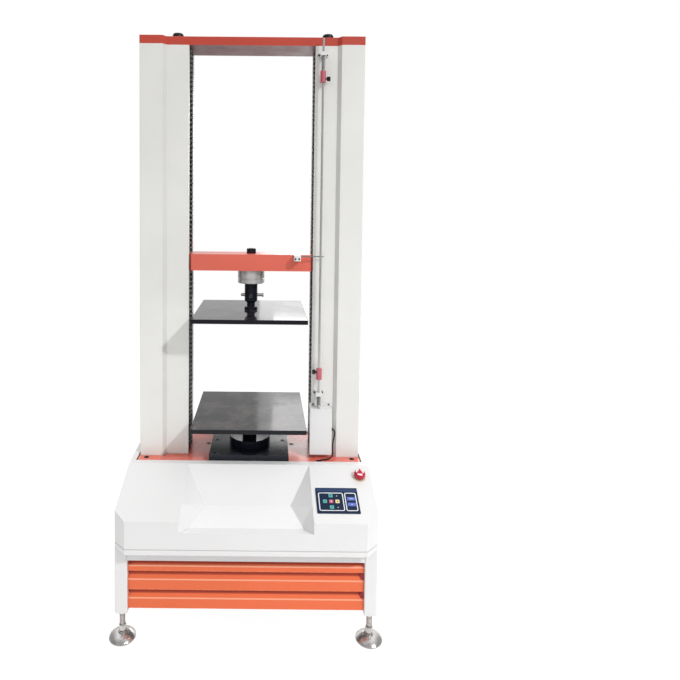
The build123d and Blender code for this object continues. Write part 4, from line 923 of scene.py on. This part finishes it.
def raise_mark(bm, seat, lift):
    """Gives a flat mark its thickness and puts it on its seat."""
    thicken(bm, list(bm.faces), lift)
    bmesh.ops.transform(bm, matrix=seat, verts=bm.verts)


class TesterOperator:
    """Common ground of the operators."""

    bl_options = {"REGISTER", "UNDO"}


class TESTER_OT_stage(TesterOperator, bpy.types.Operator):
    """Camera, floor, lamps and room light"""

    bl_idname = "tester.stage"
    bl_label = "Stage"

    def execute(self, context):
        stage = context.scene.tester_stage
        self.camera(context)
        self.floor(context, stage)
        self.room(context, stage)
        self.lamp(
            context, "key_lamp", stage.key_power,
            place=(3.25, -3.40, 4.60), aim=(0.1, -0.2, 0.3), width=0.28, height=0.28, cone=70,
        )
        self.lamp(
            context, "rear_panel", stage.panel_power,
            place=(0.62, 2.80, 1.60), aim=(0.3, 0.0, 0.9), width=1.25, height=1.5, cone=180,
        )
        self.lamp(
            context, "rear_window", stage.window_power,
            place=(0.66, 2.90, 1.99), aim=(0.3, 0.0, 0.7), width=1.1, height=0.75, cone=180,
        )
        context.scene.view_settings.view_transform = "Standard"
        return {"FINISHED"}

    def camera(self, context):
        """The camera of the picture, whose focal length and centre are measured in pixels."""
        picture, focal, centre_x, centre_y = 680, 563.70, 265.19, 233.42
        film_width, film_height = 24.0, 36.0
        eye = (0.05461, -2.00273, 1.40647)
        pitch, yaw, roll = radians(2.93), radians(-0.10), radians(-0.53)
        ahead = Vector((sin(yaw) * cos(pitch), cos(yaw) * cos(pitch), -sin(pitch)))
        level = Vector((cos(yaw), -sin(yaw), 0))
        fall = ahead.cross(level)
        right = level * cos(roll) + fall * sin(roll)
        down = fall * cos(roll) - level * sin(roll)
        data = bpy.data.cameras.new("photo_camera")
        data.sensor_fit = "VERTICAL"
        data.sensor_width = film_width
        data.sensor_height = film_height
        data.lens = film_height * focal / picture
        data.shift_x = (picture / 2 - centre_x) / picture
        data.shift_y = (centre_y - picture / 2) / picture
        camera = bpy.data.objects.new("photo_camera", data)
        turn = Matrix((right, -down, -ahead)).transposed().to_4x4()
        camera.matrix_world = Matrix.Translation(eye) @ turn
        context.scene.collection.objects.link(camera)
        context.scene.camera = camera

    def floor(self, context, stage):
        """A pale floor just under the feet, which the camera sees brighter than other rays do."""
        drop, glow_strength, glow_share = 0.0004, 1.10, 0.86
        bm = bmesh.new()
        bmesh.ops.create_grid(bm, x_segments=4, y_segments=4, size=stage.floor_size / 2)
        bmesh.ops.translate(bm, vec=(0, 0, -drop), verts=bm.verts)
        mesh = bpy.data.meshes.new("pale_floor")
        bm.to_mesh(mesh)
        bm.free()
        made = bpy.data.materials.new("pale_floor")
        made.use_nodes = True
        tree = made.node_tree
        tree.nodes.clear()
        out = tree.nodes.new("ShaderNodeOutputMaterial")
        matte = node(tree, "ShaderNodeBsdfDiffuse", Color=(0.86, 0.86, 0.86, 1))
        glow = node(tree, "ShaderNodeEmission", Color=(1, 1, 1, 1), Strength=glow_strength)
        path = tree.nodes.new("ShaderNodeLightPath")
        share = times(tree, (path, "Is Camera Ray"), glow_share)
        both = self.blend_shaders(tree, (share, 0), matte, glow)
        wire(tree, both, 0, out, "Surface")
        mesh.materials.append(made)
        floor = bpy.data.objects.new("pale_floor", mesh)
        context.scene.collection.objects.link(floor)

    def room(self, context, stage):
        """A white room: plain to the camera, soft as light, and darker in front and beside in reflections."""
        world = bpy.data.worlds.new("studio_room")
        world.use_nodes = True
        context.scene.world = world
        tree = world.node_tree
        tree.nodes.clear()
        out = tree.nodes.new("ShaderNodeOutputWorld")
        path = tree.nodes.new("ShaderNodeLightPath")
        white = node(tree, "ShaderNodeBackground", Color=(1, 1, 1, 1), Strength=1.0)
        clear = math_node(tree, "MAXIMUM", (path, "Is Camera Ray"), (path, "Is Transmission Ray"))
        coords = tree.nodes.new("ShaderNodeTexCoord")
        parts = tree.nodes.new("ShaderNodeSeparateXYZ")
        wire(tree, coords, "Generated", parts, "Vector")
        height = spread(tree, parts, "Z", 0.0, 1.0, to_low=stage.room_low, to_high=stage.room_high)
        height.interpolation_type = "LINEAR"
        above = spread(tree, parts, "Z", -0.10, 0.0, to_low=0.25, to_high=1.0)
        sky = times(tree, (height, "Result"), (above, "Result"))
        soft = node(tree, "ShaderNodeBackground", Color=(1.0, 0.995, 0.985, 1))
        wire(tree, sky, 0, soft, "Strength")
        behind = spread(tree, parts, "Y", -0.45, 0.15, to_low=0.36, to_high=1.0)
        beside = absolute(tree, parts, "X")
        dim = spread(tree, beside, 0, 0.40, 0.80, to_low=1.0, to_high=0.30)
        shown = times(tree, (behind, "Result"), (dim, "Result"))
        mirrored = node(tree, "ShaderNodeBackground", Color=(1, 1, 1, 1))
        wire(tree, shown, 0, mirrored, "Strength")
        gloss = self.blend_shaders(tree, (path, "Is Glossy Ray"), soft, mirrored)
        both = self.blend_shaders(tree, (clear, 0), gloss, white)
        wire(tree, both, 0, out, "Surface")

    def blend_shaders(self, tree, share, first, second):
        """A Mix Shader of two shaders, whose share is a (node, output) pair."""
        made = tree.nodes.new("ShaderNodeMixShader")
        wire(tree, *share, made, 0)
        wire(tree, first, 0, made, 1)
        wire(tree, second, 0, made, 2)
        return made

    def lamp(self, context, name, power, place, aim, width, height, cone):
        """An area lamp at a place, aimed at another, with its cone in degrees."""
        data = bpy.data.lights.new(name, "AREA")
        data.spread = radians(cone)
        data.shape = "RECTANGLE"
        data.size = width
        data.size_y = height
        data.energy = power
        lamp = bpy.data.objects.new(name, data)
        lamp.location = place
        lamp.rotation_euler = (Vector(aim) - Vector(place)).to_track_quat("-Z", "Y").to_euler()
        context.scene.collection.objects.link(lamp)


class TESTER_OT_finishes(TesterOperator, bpy.types.Operator):
    """Finishes of all the carried-over parts"""

    bl_idname = "tester.finishes"
    bl_label = "Finishes"

    def execute(self, context):
        make_finishes(context.scene.tester_colours, context.scene.tester_sizes)
        for finish, names in node_finish.items():
            for name in names:
                slots = frame["nodes"][name].data.materials
                slots.clear()
                slots.append(finishes[finish])
        return {"FINISHED"}


# Route of the switch cable, as in the part's source, in metres
cable_route = [
    (0.2975, 0.0060, 0.5940),
    (0.3035, 0.0060, 0.5940),
    (0.3080, 0.0058, 0.5890),
    (0.3100, 0.0054, 0.5780),
    (0.3085, 0.0050, 0.5640),
    (0.3045, 0.0040, 0.5510),
    (0.3028, 0.0025, 0.5380),
    (0.3028, 0.0000, 0.5240),
    (0.3028, -0.0035, 0.5080),
    (0.2995, -0.0075, 0.4970),
    (0.2840, -0.0170, 0.4940),
    (0.2680, -0.0205, 0.4930),
    (0.2560, -0.0224, 0.4920),
    (0.2490, -0.0232, 0.4865),
    (0.2470, -0.0230, 0.4780),
]


class TESTER_OT_cable(TesterOperator, bpy.types.Operator):
    """Cable from the switch box to the base plate, with its gland and grommet"""

    bl_idname = "tester.cable"
    bl_label = "Switch Cable"

    def execute(self, context):
        width = context.scene.tester_sizes.cable_width
        cable = self.run(context, width)
        core = width / 2
        gland = [(2.0, 0), (2.0, 0.0025), (1.7, 0.0034), (1.35, 0.0055), (1.08, 0.006), (1.08, 0)]
        outline = [(core * share, height) for share, height in gland]
        bm = bmesh.new()
        lathe(bm, facing(cable_route[0], (1, 0, 0), (0, 1, 0)), outline, closed=True)
        piece = settle(bm, "cable_gland", "black_plastic", "frame")
        hole = (0.2495, -0.0230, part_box("base_plate")[1].z)
        grommet = [(0.0068, -0.004), (0.0068, 0), (0.0088, 0), (0.0086, 0.0012), (0.0072, 0.002)]
        grommet += [(0.0060, 0.0014), (0.0060, -0.004)]
        bm = bmesh.new()
        lathe(bm, facing(hole, (0, 0, 1)), grommet, 28, closed=True)
        settle(bm, "cable_grommet", "belt", "frame")
        return {"FINISHED"}

    def run(self, context, width):
        """The cable itself, a round curve along its route."""
        data = bpy.data.curves.new("switch_cable_run", "CURVE")
        data.dimensions = "3D"
        data.bevel_depth = width / 2
        data.bevel_resolution = 6
        data.use_fill_caps = True
        line = data.splines.new("NURBS")
        line.points.add(len(cable_route) - 1)
        for point, place in zip(line.points, cable_route):
            point.co = (*place, 1.0)
        line.order_u = 3
        line.use_endpoint_u = True
        line.resolution_u = 8
        data.materials.append(finishes["cable"])
        cable = bpy.data.objects.new("switch_cable_run", data)
        context.scene.collection.objects.link(cable)
        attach(cable, "frame")
        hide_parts("switch_cable")
        return cable


class TESTER_OT_bellows(TesterOperator, bpy.types.Operator):
    """Pleated covers in the column slots"""

    bl_idname = "tester.bellows"
    bl_label = "Pleated Covers"

    def execute(self, context):
        sizes = context.scene.tester_sizes
        for name, far in (("upper_bellows", 1), ("lower_bellows", 0)):
            low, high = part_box(name)
            bm = bmesh.new()
            for hand in (-1, 1):
                self.stack(bm, hand, low, high, sizes)
            piece = settle(bm, f"{name}_pleats", "bellows", smooth=50.0)
            skin = piece.modifiers.new("sheet", "SOLIDIFY")
            skin.thickness = sizes.pleat_sheet
            skin.offset = 0.0
            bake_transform(piece)
            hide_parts(name)
        return {"FINISHED"}

    def stack(self, bm, hand, low, high, sizes):
        """One upright stack of pleats: a flat strip whose every second line is pushed in."""
        fold_rounding = 0.0009
        height = high.z - low.z
        count = round(height / sizes.pleat_pitch)
        half = height / count / 2
        before = set(bm.verts)
        bmesh.ops.create_grid(bm, x_segments=2, y_segments=2 * count, size=0.5)
        made = [v for v in bm.verts if v not in before]
        turn = Matrix(((0, 0, hand, 0), (1, 0, 0, 0), (0, 1, 0, 0), (0, 0, 0, 1)))
        bmesh.ops.transform(bm, matrix=turn, verts=made)
        bmesh.ops.scale(bm, vec=(1, high.y - low.y, height), verts=made)
        place = (hand * pleat_line(high, sizes), (low.y + high.y) / 2, (low.z + high.z) / 2)
        bmesh.ops.translate(bm, vec=place, verts=made)
        inner = [v for v in made if round((v.co.z - low.z) / half) % 2]
        bmesh.ops.translate(bm, vec=(hand * sizes.pleat_depth, 0, 0), verts=inner)
        inside = [e for e in edges_at(made) if not e.is_boundary]
        folds = [e for e in inside if abs(e.verts[0].co.z - e.verts[1].co.z) < 1e-6]
        bmesh.ops.bevel(
            bm, geom=folds, offset=fold_rounding, affect="EDGES", segments=2, profile=0.5, material=-1
        )


class TESTER_OT_springs(TesterOperator, bpy.types.Operator):
    """Springs of the limit rod"""

    bl_idname = "tester.springs"
    bl_label = "Rod Springs"

    def execute(self, context):
        sizes = context.scene.tester_sizes
        bracket_height, upper_height, end_gap = 0.012, 0.05, 0.001
        axis = middle("upper_collar")
        lower_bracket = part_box("rod_brackets")[0].z
        upper_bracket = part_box("rod_brackets")[1].z - bracket_height
        spans = {
            "lower": (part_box("rod_springs")[0].z, lower_bracket),
            "upper": (upper_bracket - upper_height, upper_bracket),
        }
        radius = (sizes.spring_width - sizes.spring_wire) / 2
        for name, (bottom, top) in spans.items():
            bm = bmesh.new()
            start = (axis.x + radius, axis.y, bottom + end_gap)
            seat = Matrix.Translation(start) @ Matrix.Rotation(pi / 2, 4, "X")
            wire_radius = sizes.spring_wire / 2
            ring = bmesh.ops.create_circle(bm, cap_ends=False, segments=10, radius=wire_radius, matrix=seat)
            section = ring["verts"] + edges_at(ring["verts"])
            helix(bm, (axis.x, axis.y, 0), top - bottom - 2 * end_gap, sizes.spring_turns, section)
            piece = settle(bm, f"{name}_rod_spring", "spring", smooth=60.0)
            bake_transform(piece)
            if name == "lower":
                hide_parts("rod_springs")
        return {"FINISHED"}


class TESTER_OT_feet(TesterOperator, bpy.types.Operator):
    """Thread ridges and collars on the stems of the levelling feet"""

    bl_idname = "tester.feet"
    bl_label = "Levelling Feet"

    def execute(self, context):
        pitch = context.scene.tester_sizes.thread_pitch
        stem, sunk, bottom, collar_bottom = 0.008, 0.0004, 0.0285, 0.0265
        nut_gap, ridge_share = 0.0015, 0.42
        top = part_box("foot_lock_nuts")[0].z - nut_gap
        turns = round((top - bottom) / pitch)
        half = pitch * ridge_share
        crest = stem + context.scene.tester_sizes.thread_height
        ridge = [(stem - sunk, -half), (crest, 0), (stem - sunk, half)]
        collar = [(0.0081, 0.0), (0.0118, 0.0), (0.0118, 0.015), (0.0106, 0.018), (0.0092, 0.020)]
        collar += [(0.0081, 0.020)]
        for corner in ("front_left", "front_right", "rear_left", "rear_right"):
            axis = middle(f"foot_{corner}")
            bm = bmesh.new()
            line = [bm.verts.new((axis.x + out, axis.y, bottom + up)) for out, up in ridge]
            edges = [bm.edges.new(pair) for pair in zip(line, line[1:] + line[:1])]
            helix(bm, (axis.x, axis.y, 0), turns * pitch, turns, line + edges, 20)
            settle(bm, f"foot_thread_{corner}", "stainless", f"foot_{corner}")
            bm = bmesh.new()
            lathe(bm, facing((axis.x, axis.y, collar_bottom), (0, 0, 1)), collar, 28, closed=True)
            settle(bm, f"foot_collar_{corner}", "stainless", f"foot_{corner}")
        return {"FINISHED"}


class TESTER_OT_fasteners(TesterOperator, bpy.types.Operator):
    """Socket screws on the brackets, the finger, the switch box, the covers and the beam"""

    bl_idname = "tester.fasteners"
    bl_label = "Fasteners"

    def execute(self, context):
        self.screws("bracket_screws", self.bracket_seats(), 0.0032, 0.0026)
        self.screws("finger_screws", self.finger_seats(), 0.0034, 0.0012, body="crosshead")
        self.screws("switch_box_screws", self.box_seats(), 0.003, 0.0018)
        self.screws("beam_screws", self.beam_seats(), 0.009, 0.008)
        self.screws("cover_screws", self.cover_seats(), 0.0045, 0.0022, "screw_zinc", "stainless")
        return {"FINISHED"}

    def screws(self, name, seats, radius, height, finish="screw_dark", slot="black_steel", body="frame"):
        """One piece of like screws, one on each seat."""
        bm = bmesh.new()
        for seat in seats:
            socket_screw(bm, seat, radius, height)
        settle(bm, name, finish, body)

    def bracket_seats(self):
        """Seats at the corners of the two rod brackets' plates."""
        low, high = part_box("rod_brackets")
        plate, side, edge = 0.004, 0.0036, 0.006
        for z in (low.z + edge, high.z - edge):
            for x in (low.x + side, high.x - side):
                yield facing((x, high.y - plate, z), (0, -1, 0))

    def finger_seats(self):
        """Seats side by side on the block of the limit finger."""
        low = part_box("limit_finger")[0]
        sunk, rise = 0.0002, 0.0075
        for across in (0.005, 0.018):
            yield facing((low.x + across, low.y + sunk, low.z + rise), (0, -1, 0))

    def box_seats(self):
        """Seats on the upper flange of the switch box."""
        low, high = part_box("switch_box")
        left, right, flange, fall = 0.013, 0.0086, 0.002, 0.0056
        for x in (low.x + left, high.x - right):
            yield facing((x, high.y - flange, high.z - fall), (0, -1, 0))

    def beam_seats(self):
        """Seats on the top beam, in a row over each guide post."""
        low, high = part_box("guide_posts")
        post_radius, apart = 0.02, 0.042
        for x in (low.x + post_radius, high.x - post_radius):
            for shift in (-apart, 0.0, apart):
                yield facing((x, (low.y + high.y) / 2 + shift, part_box("top_beam")[1].z), (0, 0, 1))

    def cover_seats(self):
        """Seats near the edges of the rear cover and of the side covers."""
        edge, upper_edge, side_edge = 0.02, 0.022, 0.03
        low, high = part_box("rear_cover")
        for x in (low.x + edge, 0.0, high.x - edge):
            for z in (low.z + edge, high.z - upper_edge):
                yield facing((x, high.y, z), (0, 1, 0), (-1, 0, 0))
        low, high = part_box("side_covers")
        for x, hand in ((low.x, -1), (high.x, 1)):
            for y in (low.y + side_edge, high.y - side_edge):
                for z in (low.z + edge, high.z - upper_edge):
                    yield facing((x, y, z), (hand, 0, 0), (0, 1, 0))


class TESTER_OT_keypad(TesterOperator, bpy.types.Operator):
    """Printed outlines, strip, lamps and key marks of the keypad"""

    bl_idname = "tester.keypad"
    bl_label = "Keypad"

    def execute(self, context):
        tilt = front_slope()
        print_lift = 0.00025
        self.panel_print(slope_seat("keypad_panel", tilt, skin=0.0005), print_lift)
        self.key_marks(tilt, print_lift)
        return {"FINISHED"}

    def panel_print(self, face, lift):
        """The two outlines, the strip above them and the two lamps."""
        fall, field_height, field_corner, line_width = -0.0056, 0.0728, 0.006, 0.0029
        bm = bmesh.new()
        for across, width in ((-0.0204, 0.0818), (0.044, 0.038)):
            tablet(bm, shifted(face, across, fall), width, field_height, field_corner, lift, rim=line_width)
        settle(bm, "keypad_outlines", "outline", "frame")
        strip_rise, strip_width, strip_height, strip_corner = 0.0409, 0.132, 0.0108, 0.001
        bm = bmesh.new()
        tablet(bm, shifted(face, 0, strip_rise), strip_width, strip_height, strip_corner, lift)
        settle(bm, "keypad_strip", "strip", "frame")
        lamp_across, lamp_rows = -0.0009, (0.017, -0.0288)
        lamp = [(0, 0), (0.0018, 0), (0.0018, 0.0006), (0.0012, 0.0012), (0, 0.0014)]
        bm = bmesh.new()
        for row in lamp_rows:
            lathe(bm, shifted(face, lamp_across, row), lamp, 16)
        settle(bm, "keypad_lamps", "lamp", "frame")

    def key_marks(self, tilt, lift):
        """Arrowheads on four keys, and a square and bars on the other three."""
        arrow_radius, bar_corner = 0.0032, 0.0004
        for key, angle in {"up": 90, "left": 180, "right": 0, "down": 270}.items():
            seat = slope_seat(f"key_{key}", tilt) @ Matrix.Rotation(radians(angle), 4, "Z")
            bm = bmesh.new()
            arrow = bmesh.ops.create_circle(bm, cap_ends=True, segments=3, radius=arrow_radius)["verts"]
            bmesh.ops.rotate(bm, verts=arrow, cent=(0, 0, 0), matrix=Matrix.Rotation(-pi / 2, 3, "Z"))
            raise_mark(bm, seat, lift)
            settle(bm, f"key_mark_{key}", "navy", f"key_{key}")
        for key, width, depth in (("stop", 0.0046, 0.0046), ("fast", 0.012, 0.0018), ("slow", 0.006, 0.0018)):
            bm = bmesh.new()
            tablet(bm, slope_seat(f"key_{key}", tilt), width, depth, bar_corner, lift)
            settle(bm, f"key_mark_{key}", "print_white", f"key_{key}")


class TESTER_OT_emergency_stop(TesterOperator, bpy.types.Operator):
    """Turn arrows on the emergency stop"""

    bl_idname = "tester.emergency_stop"
    bl_label = "Emergency Stop"

    def execute(self, context):
        sunk, lift = 0.0003, 0.0006
        flat, rounding, tip_radius = 0.0110, 0.0080, 0.0034
        lead, sweep, tip_gap = radians(46), radians(72), radians(5)
        rings = (0.0082, flat, 0.0128, 0.0145)
        drops = [rounding - sqrt(rounding**2 - max(radius - flat, 0) ** 2) for radius in rings]
        bm = bmesh.new()
        for centre in (150, 30, 270):
            start = radians(centre) - lead
            points = [(radius * cos(start), radius * sin(start), -drop) for radius, drop in zip(rings, drops)]
            line = [bm.verts.new(point) for point in points]
            edges = [bm.edges.new(pair) for pair in zip(line, line[1:])]
            bmesh.ops.spin(
                bm, geom=line + edges, cent=(0, 0, 0), axis=(0, 0, 1), angle=sweep, steps=10, use_merge=False
            )
            tip = bmesh.ops.create_circle(bm, cap_ends=True, segments=3, radius=tip_radius)["verts"]
            turn = start + sweep + tip_gap
            place = Matrix.Translation((flat * cos(turn), flat * sin(turn), 0))
            bmesh.ops.transform(bm, matrix=place @ Matrix.Rotation(turn, 4, "Z"), verts=tip)
        raise_mark(bm, shifted(slope_seat("emergency_stop_head", front_slope()), 0, 0, -sunk), lift)
        settle(bm, "stop_arrows", "stop_mark", "emergency_stop")
        return {"FINISHED"}


class TESTER_OT_load_string(TesterOperator, bpy.types.Operator):
    """Set screw of the coupling sleeve, socket of the load cell and slotted seat of the pedestal"""

    bl_idname = "tester.load_string"
    bl_label = "Load String"

    def execute(self, context):
        self.sleeve_screw()
        self.cell_socket()
        self.pedestal_seat()
        return {"FINISHED"}

    def sleeve_screw(self):
        """The set screw in the front of the coupling sleeve, and its rim."""
        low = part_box("coupling_sleeve")[0]
        sunk, rise, bore, bottom = 0.0005, 0.025, 0.0040, -0.002
        seat = facing((middle("coupling_sleeve").x, low.y + sunk, low.z + rise), (0, -1, 0))
        rim = [(bore, bottom), (0.0058, bottom), (0.0058, 0.0006), (0.0050, 0.0012), (bore, 0.0006)]
        bm = bmesh.new()
        lathe(bm, seat, rim, closed=True)
        settle(bm, "sleeve_screw_rim", "spring", "crosshead")
        screw = [(0, bottom), (bore, bottom), (bore, 0.0003)]
        screw += [(0.0022, 0.0003), (0.0020, -0.0014), (0, -0.0014)]
        bm = bmesh.new()
        lathe(bm, seat, screw)
        settle(bm, "sleeve_set_screw", "screw_dark", "crosshead")

    def cell_socket(self):
        """The plug socket on the back of the load cell."""
        low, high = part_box("load_cell")
        sunk, rise = 0.001, 0.034
        seat = facing((middle("load_cell").x, high.y - sunk, low.z + rise), (0, 1, 0))
        socket = [(0, 0), (0.009, 0), (0.009, 0.004), (0.0078, 0.005), (0.0078, 0.014), (0.0068, 0.015)]
        socket += [(0.0062, 0.015), (0.0062, 0.006), (0, 0.006)]
        bm = bmesh.new()
        lathe(bm, seat, socket)
        settle(bm, "load_cell_socket", "bright", "crosshead")

    def pedestal_seat(self):
        """The domed seat round the post of the pedestal, slotted in front of the post."""
        centre = middle("pedestal")
        disc_height, bore, foot = 0.025, 0.0256, -0.0002
        place = (centre.x, centre.y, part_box("pedestal")[0].z + disc_height)
        dome = [(bore, foot), (0.0742, foot), (0.0738, 0.004), (0.0715, 0.010), (0.0665, 0.017)]
        dome += [(0.0585, 0.0235), (0.0480, 0.0285), (0.0360, 0.0315), (bore, 0.0325)]
        bm = bmesh.new()
        lathe(bm, facing(place, (0, 0, 1)), dome, 96, closed=True)
        for side in (-bore, bore):
            whole = [*bm.verts, *bm.edges, *bm.faces]
            cut = (centre.x + side, 0, 0)
            bmesh.ops.bisect_plane(bm, geom=whole, plane_co=cut, plane_no=(1, 0, 0), dist=1e-7)
        middles = [(f, f.calc_center_median()) for f in bm.faces]
        front = [f for f, at in middles if abs(at.x - centre.x) < bore and at.y < centre.y]
        bmesh.ops.delete(bm, geom=front, context="FACES")
        bmesh.ops.holes_fill(bm, edges=[e for e in bm.edges if e.is_boundary], sides=0)
        # the seat's near-white colour is a painted reflection
        settle(bm, "pedestal_seat", "polished", "frame")


class TESTER_OT_louvre(TesterOperator, bpy.types.Operator):
    """Rounded dark plates at the right ends of the louvres, painted shade for their shaded open ends"""

    bl_idname = "tester.louvre"
    bl_label = "Louvre End Shades"

    def execute(self, context):
        low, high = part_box("louvre_panel")
        half_width, half_height, thickness = 0.0118, 0.0140, 0.001
        side_gap, setback, rise = 0.0006, 0.0030, 0.0148
        bm = bmesh.new()
        for row in louvre_rows:
            held = set(bm.verts)
            disc = bmesh.ops.create_circle(bm, cap_ends=True, segments=32, radius=1.0)["verts"]
            whole = [*disc, *edges_at(disc), *disc[0].link_faces]
            bmesh.ops.bisect_plane(bm, geom=whole, plane_co=(0, 0, 0), plane_no=(1, 0, 0), clear_outer=True)
            thicken(bm, [f for f in bm.faces if held.isdisjoint(f.verts)], 1.0)
            fresh = [v for v in bm.verts if v not in held]
            bmesh.ops.scale(bm, vec=(half_width, half_height, thickness), verts=fresh)
            place = facing((high.x - side_gap, low.y + setback, row + rise), (0, -1, 0))
            bmesh.ops.transform(bm, matrix=place, verts=fresh)
        settle(bm, "louvre_ends", "louvre_end", "frame")
        return {"FINISHED"}


class TESTER_OT_rear(TesterOperator, bpy.types.Operator):
    """Pins and frame of the power inlet"""

    bl_idname = "tester.rear"
    bl_label = "Power Inlet"

    def execute(self, context):
        inlet_x, inlet_z, pin_root = -0.22, 0.37, 0.0215
        seat = facing((inlet_x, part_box("rear_cover")[1].y, inlet_z), (0, 1, 0), (-1, 0, 0))
        bm = bmesh.new()
        tablet(bm, seat, width=0.046, depth=0.038, corner=0.004, lift=0.0018, rim=0.0075)
        settle(bm, "inlet_frame", "black_plastic", "frame")
        bm = bmesh.new()
        for across, along in ((-0.007, -0.003), (0.007, -0.003), (0.0, 0.005)):
            deep = shifted(seat, across, along, -pin_root)
            tablet(bm, deep, width=0.002, depth=0.0045, corner=0.0003, lift=0.015)
        settle(bm, "inlet_pins", "bright", "frame")
        return {"FINISHED"}


class TESTER_PT_panel(bpy.types.Panel):
    """Lists the machine's pieces"""

    bl_idname = "TESTER_PT_panel"
    bl_label = "Testing Machine"
    bl_space_type = "VIEW_3D"
    bl_region_type = "UI"
    bl_category = "Tester"

    def draw(self, context):
        for kind in operators:
            self.layout.operator(kind.bl_idname)


operators = (
    TESTER_OT_stage,
    TESTER_OT_finishes,
    TESTER_OT_cable,
    TESTER_OT_bellows,
    TESTER_OT_springs,
    TESTER_OT_feet,
    TESTER_OT_fasteners,
    TESTER_OT_keypad,
    TESTER_OT_emergency_stop,
    TESTER_OT_load_string,
    TESTER_OT_louvre,
    TESTER_OT_rear,
)
settings = {"tester_colours": TesterColours, "tester_sizes": TesterSizes, "tester_stage": TesterStage}


def register():
    """Makes the settings, the operators and the panel known."""
    for kind in (*settings.values(), *operators, TESTER_PT_panel):
        bpy.utils.register_class(kind)
    for name, kind in settings.items():
        setattr(bpy.types.Scene, name, PointerProperty(type=kind))


def unregister():
    """Takes them back."""
    for name in settings:
        delattr(bpy.types.Scene, name)
    for kind in (TESTER_PT_panel, *reversed(operators), *settings.values()):
        bpy.utils.unregister_class(kind)


def main():
    """Dresses the machine."""
    register()
    bpy.ops.tester.stage()
    bpy.ops.tester.finishes()
    bpy.ops.tester.cable()
    bpy.ops.tester.bellows()
    bpy.ops.tester.springs()
    bpy.ops.tester.feet()
    bpy.ops.tester.fasteners()
    bpy.ops.tester.keypad()
    bpy.ops.tester.emergency_stop()
    bpy.ops.tester.load_string()
    bpy.ops.tester.louvre()
    bpy.ops.tester.rear()


if __name__ == "__main__":
    main()
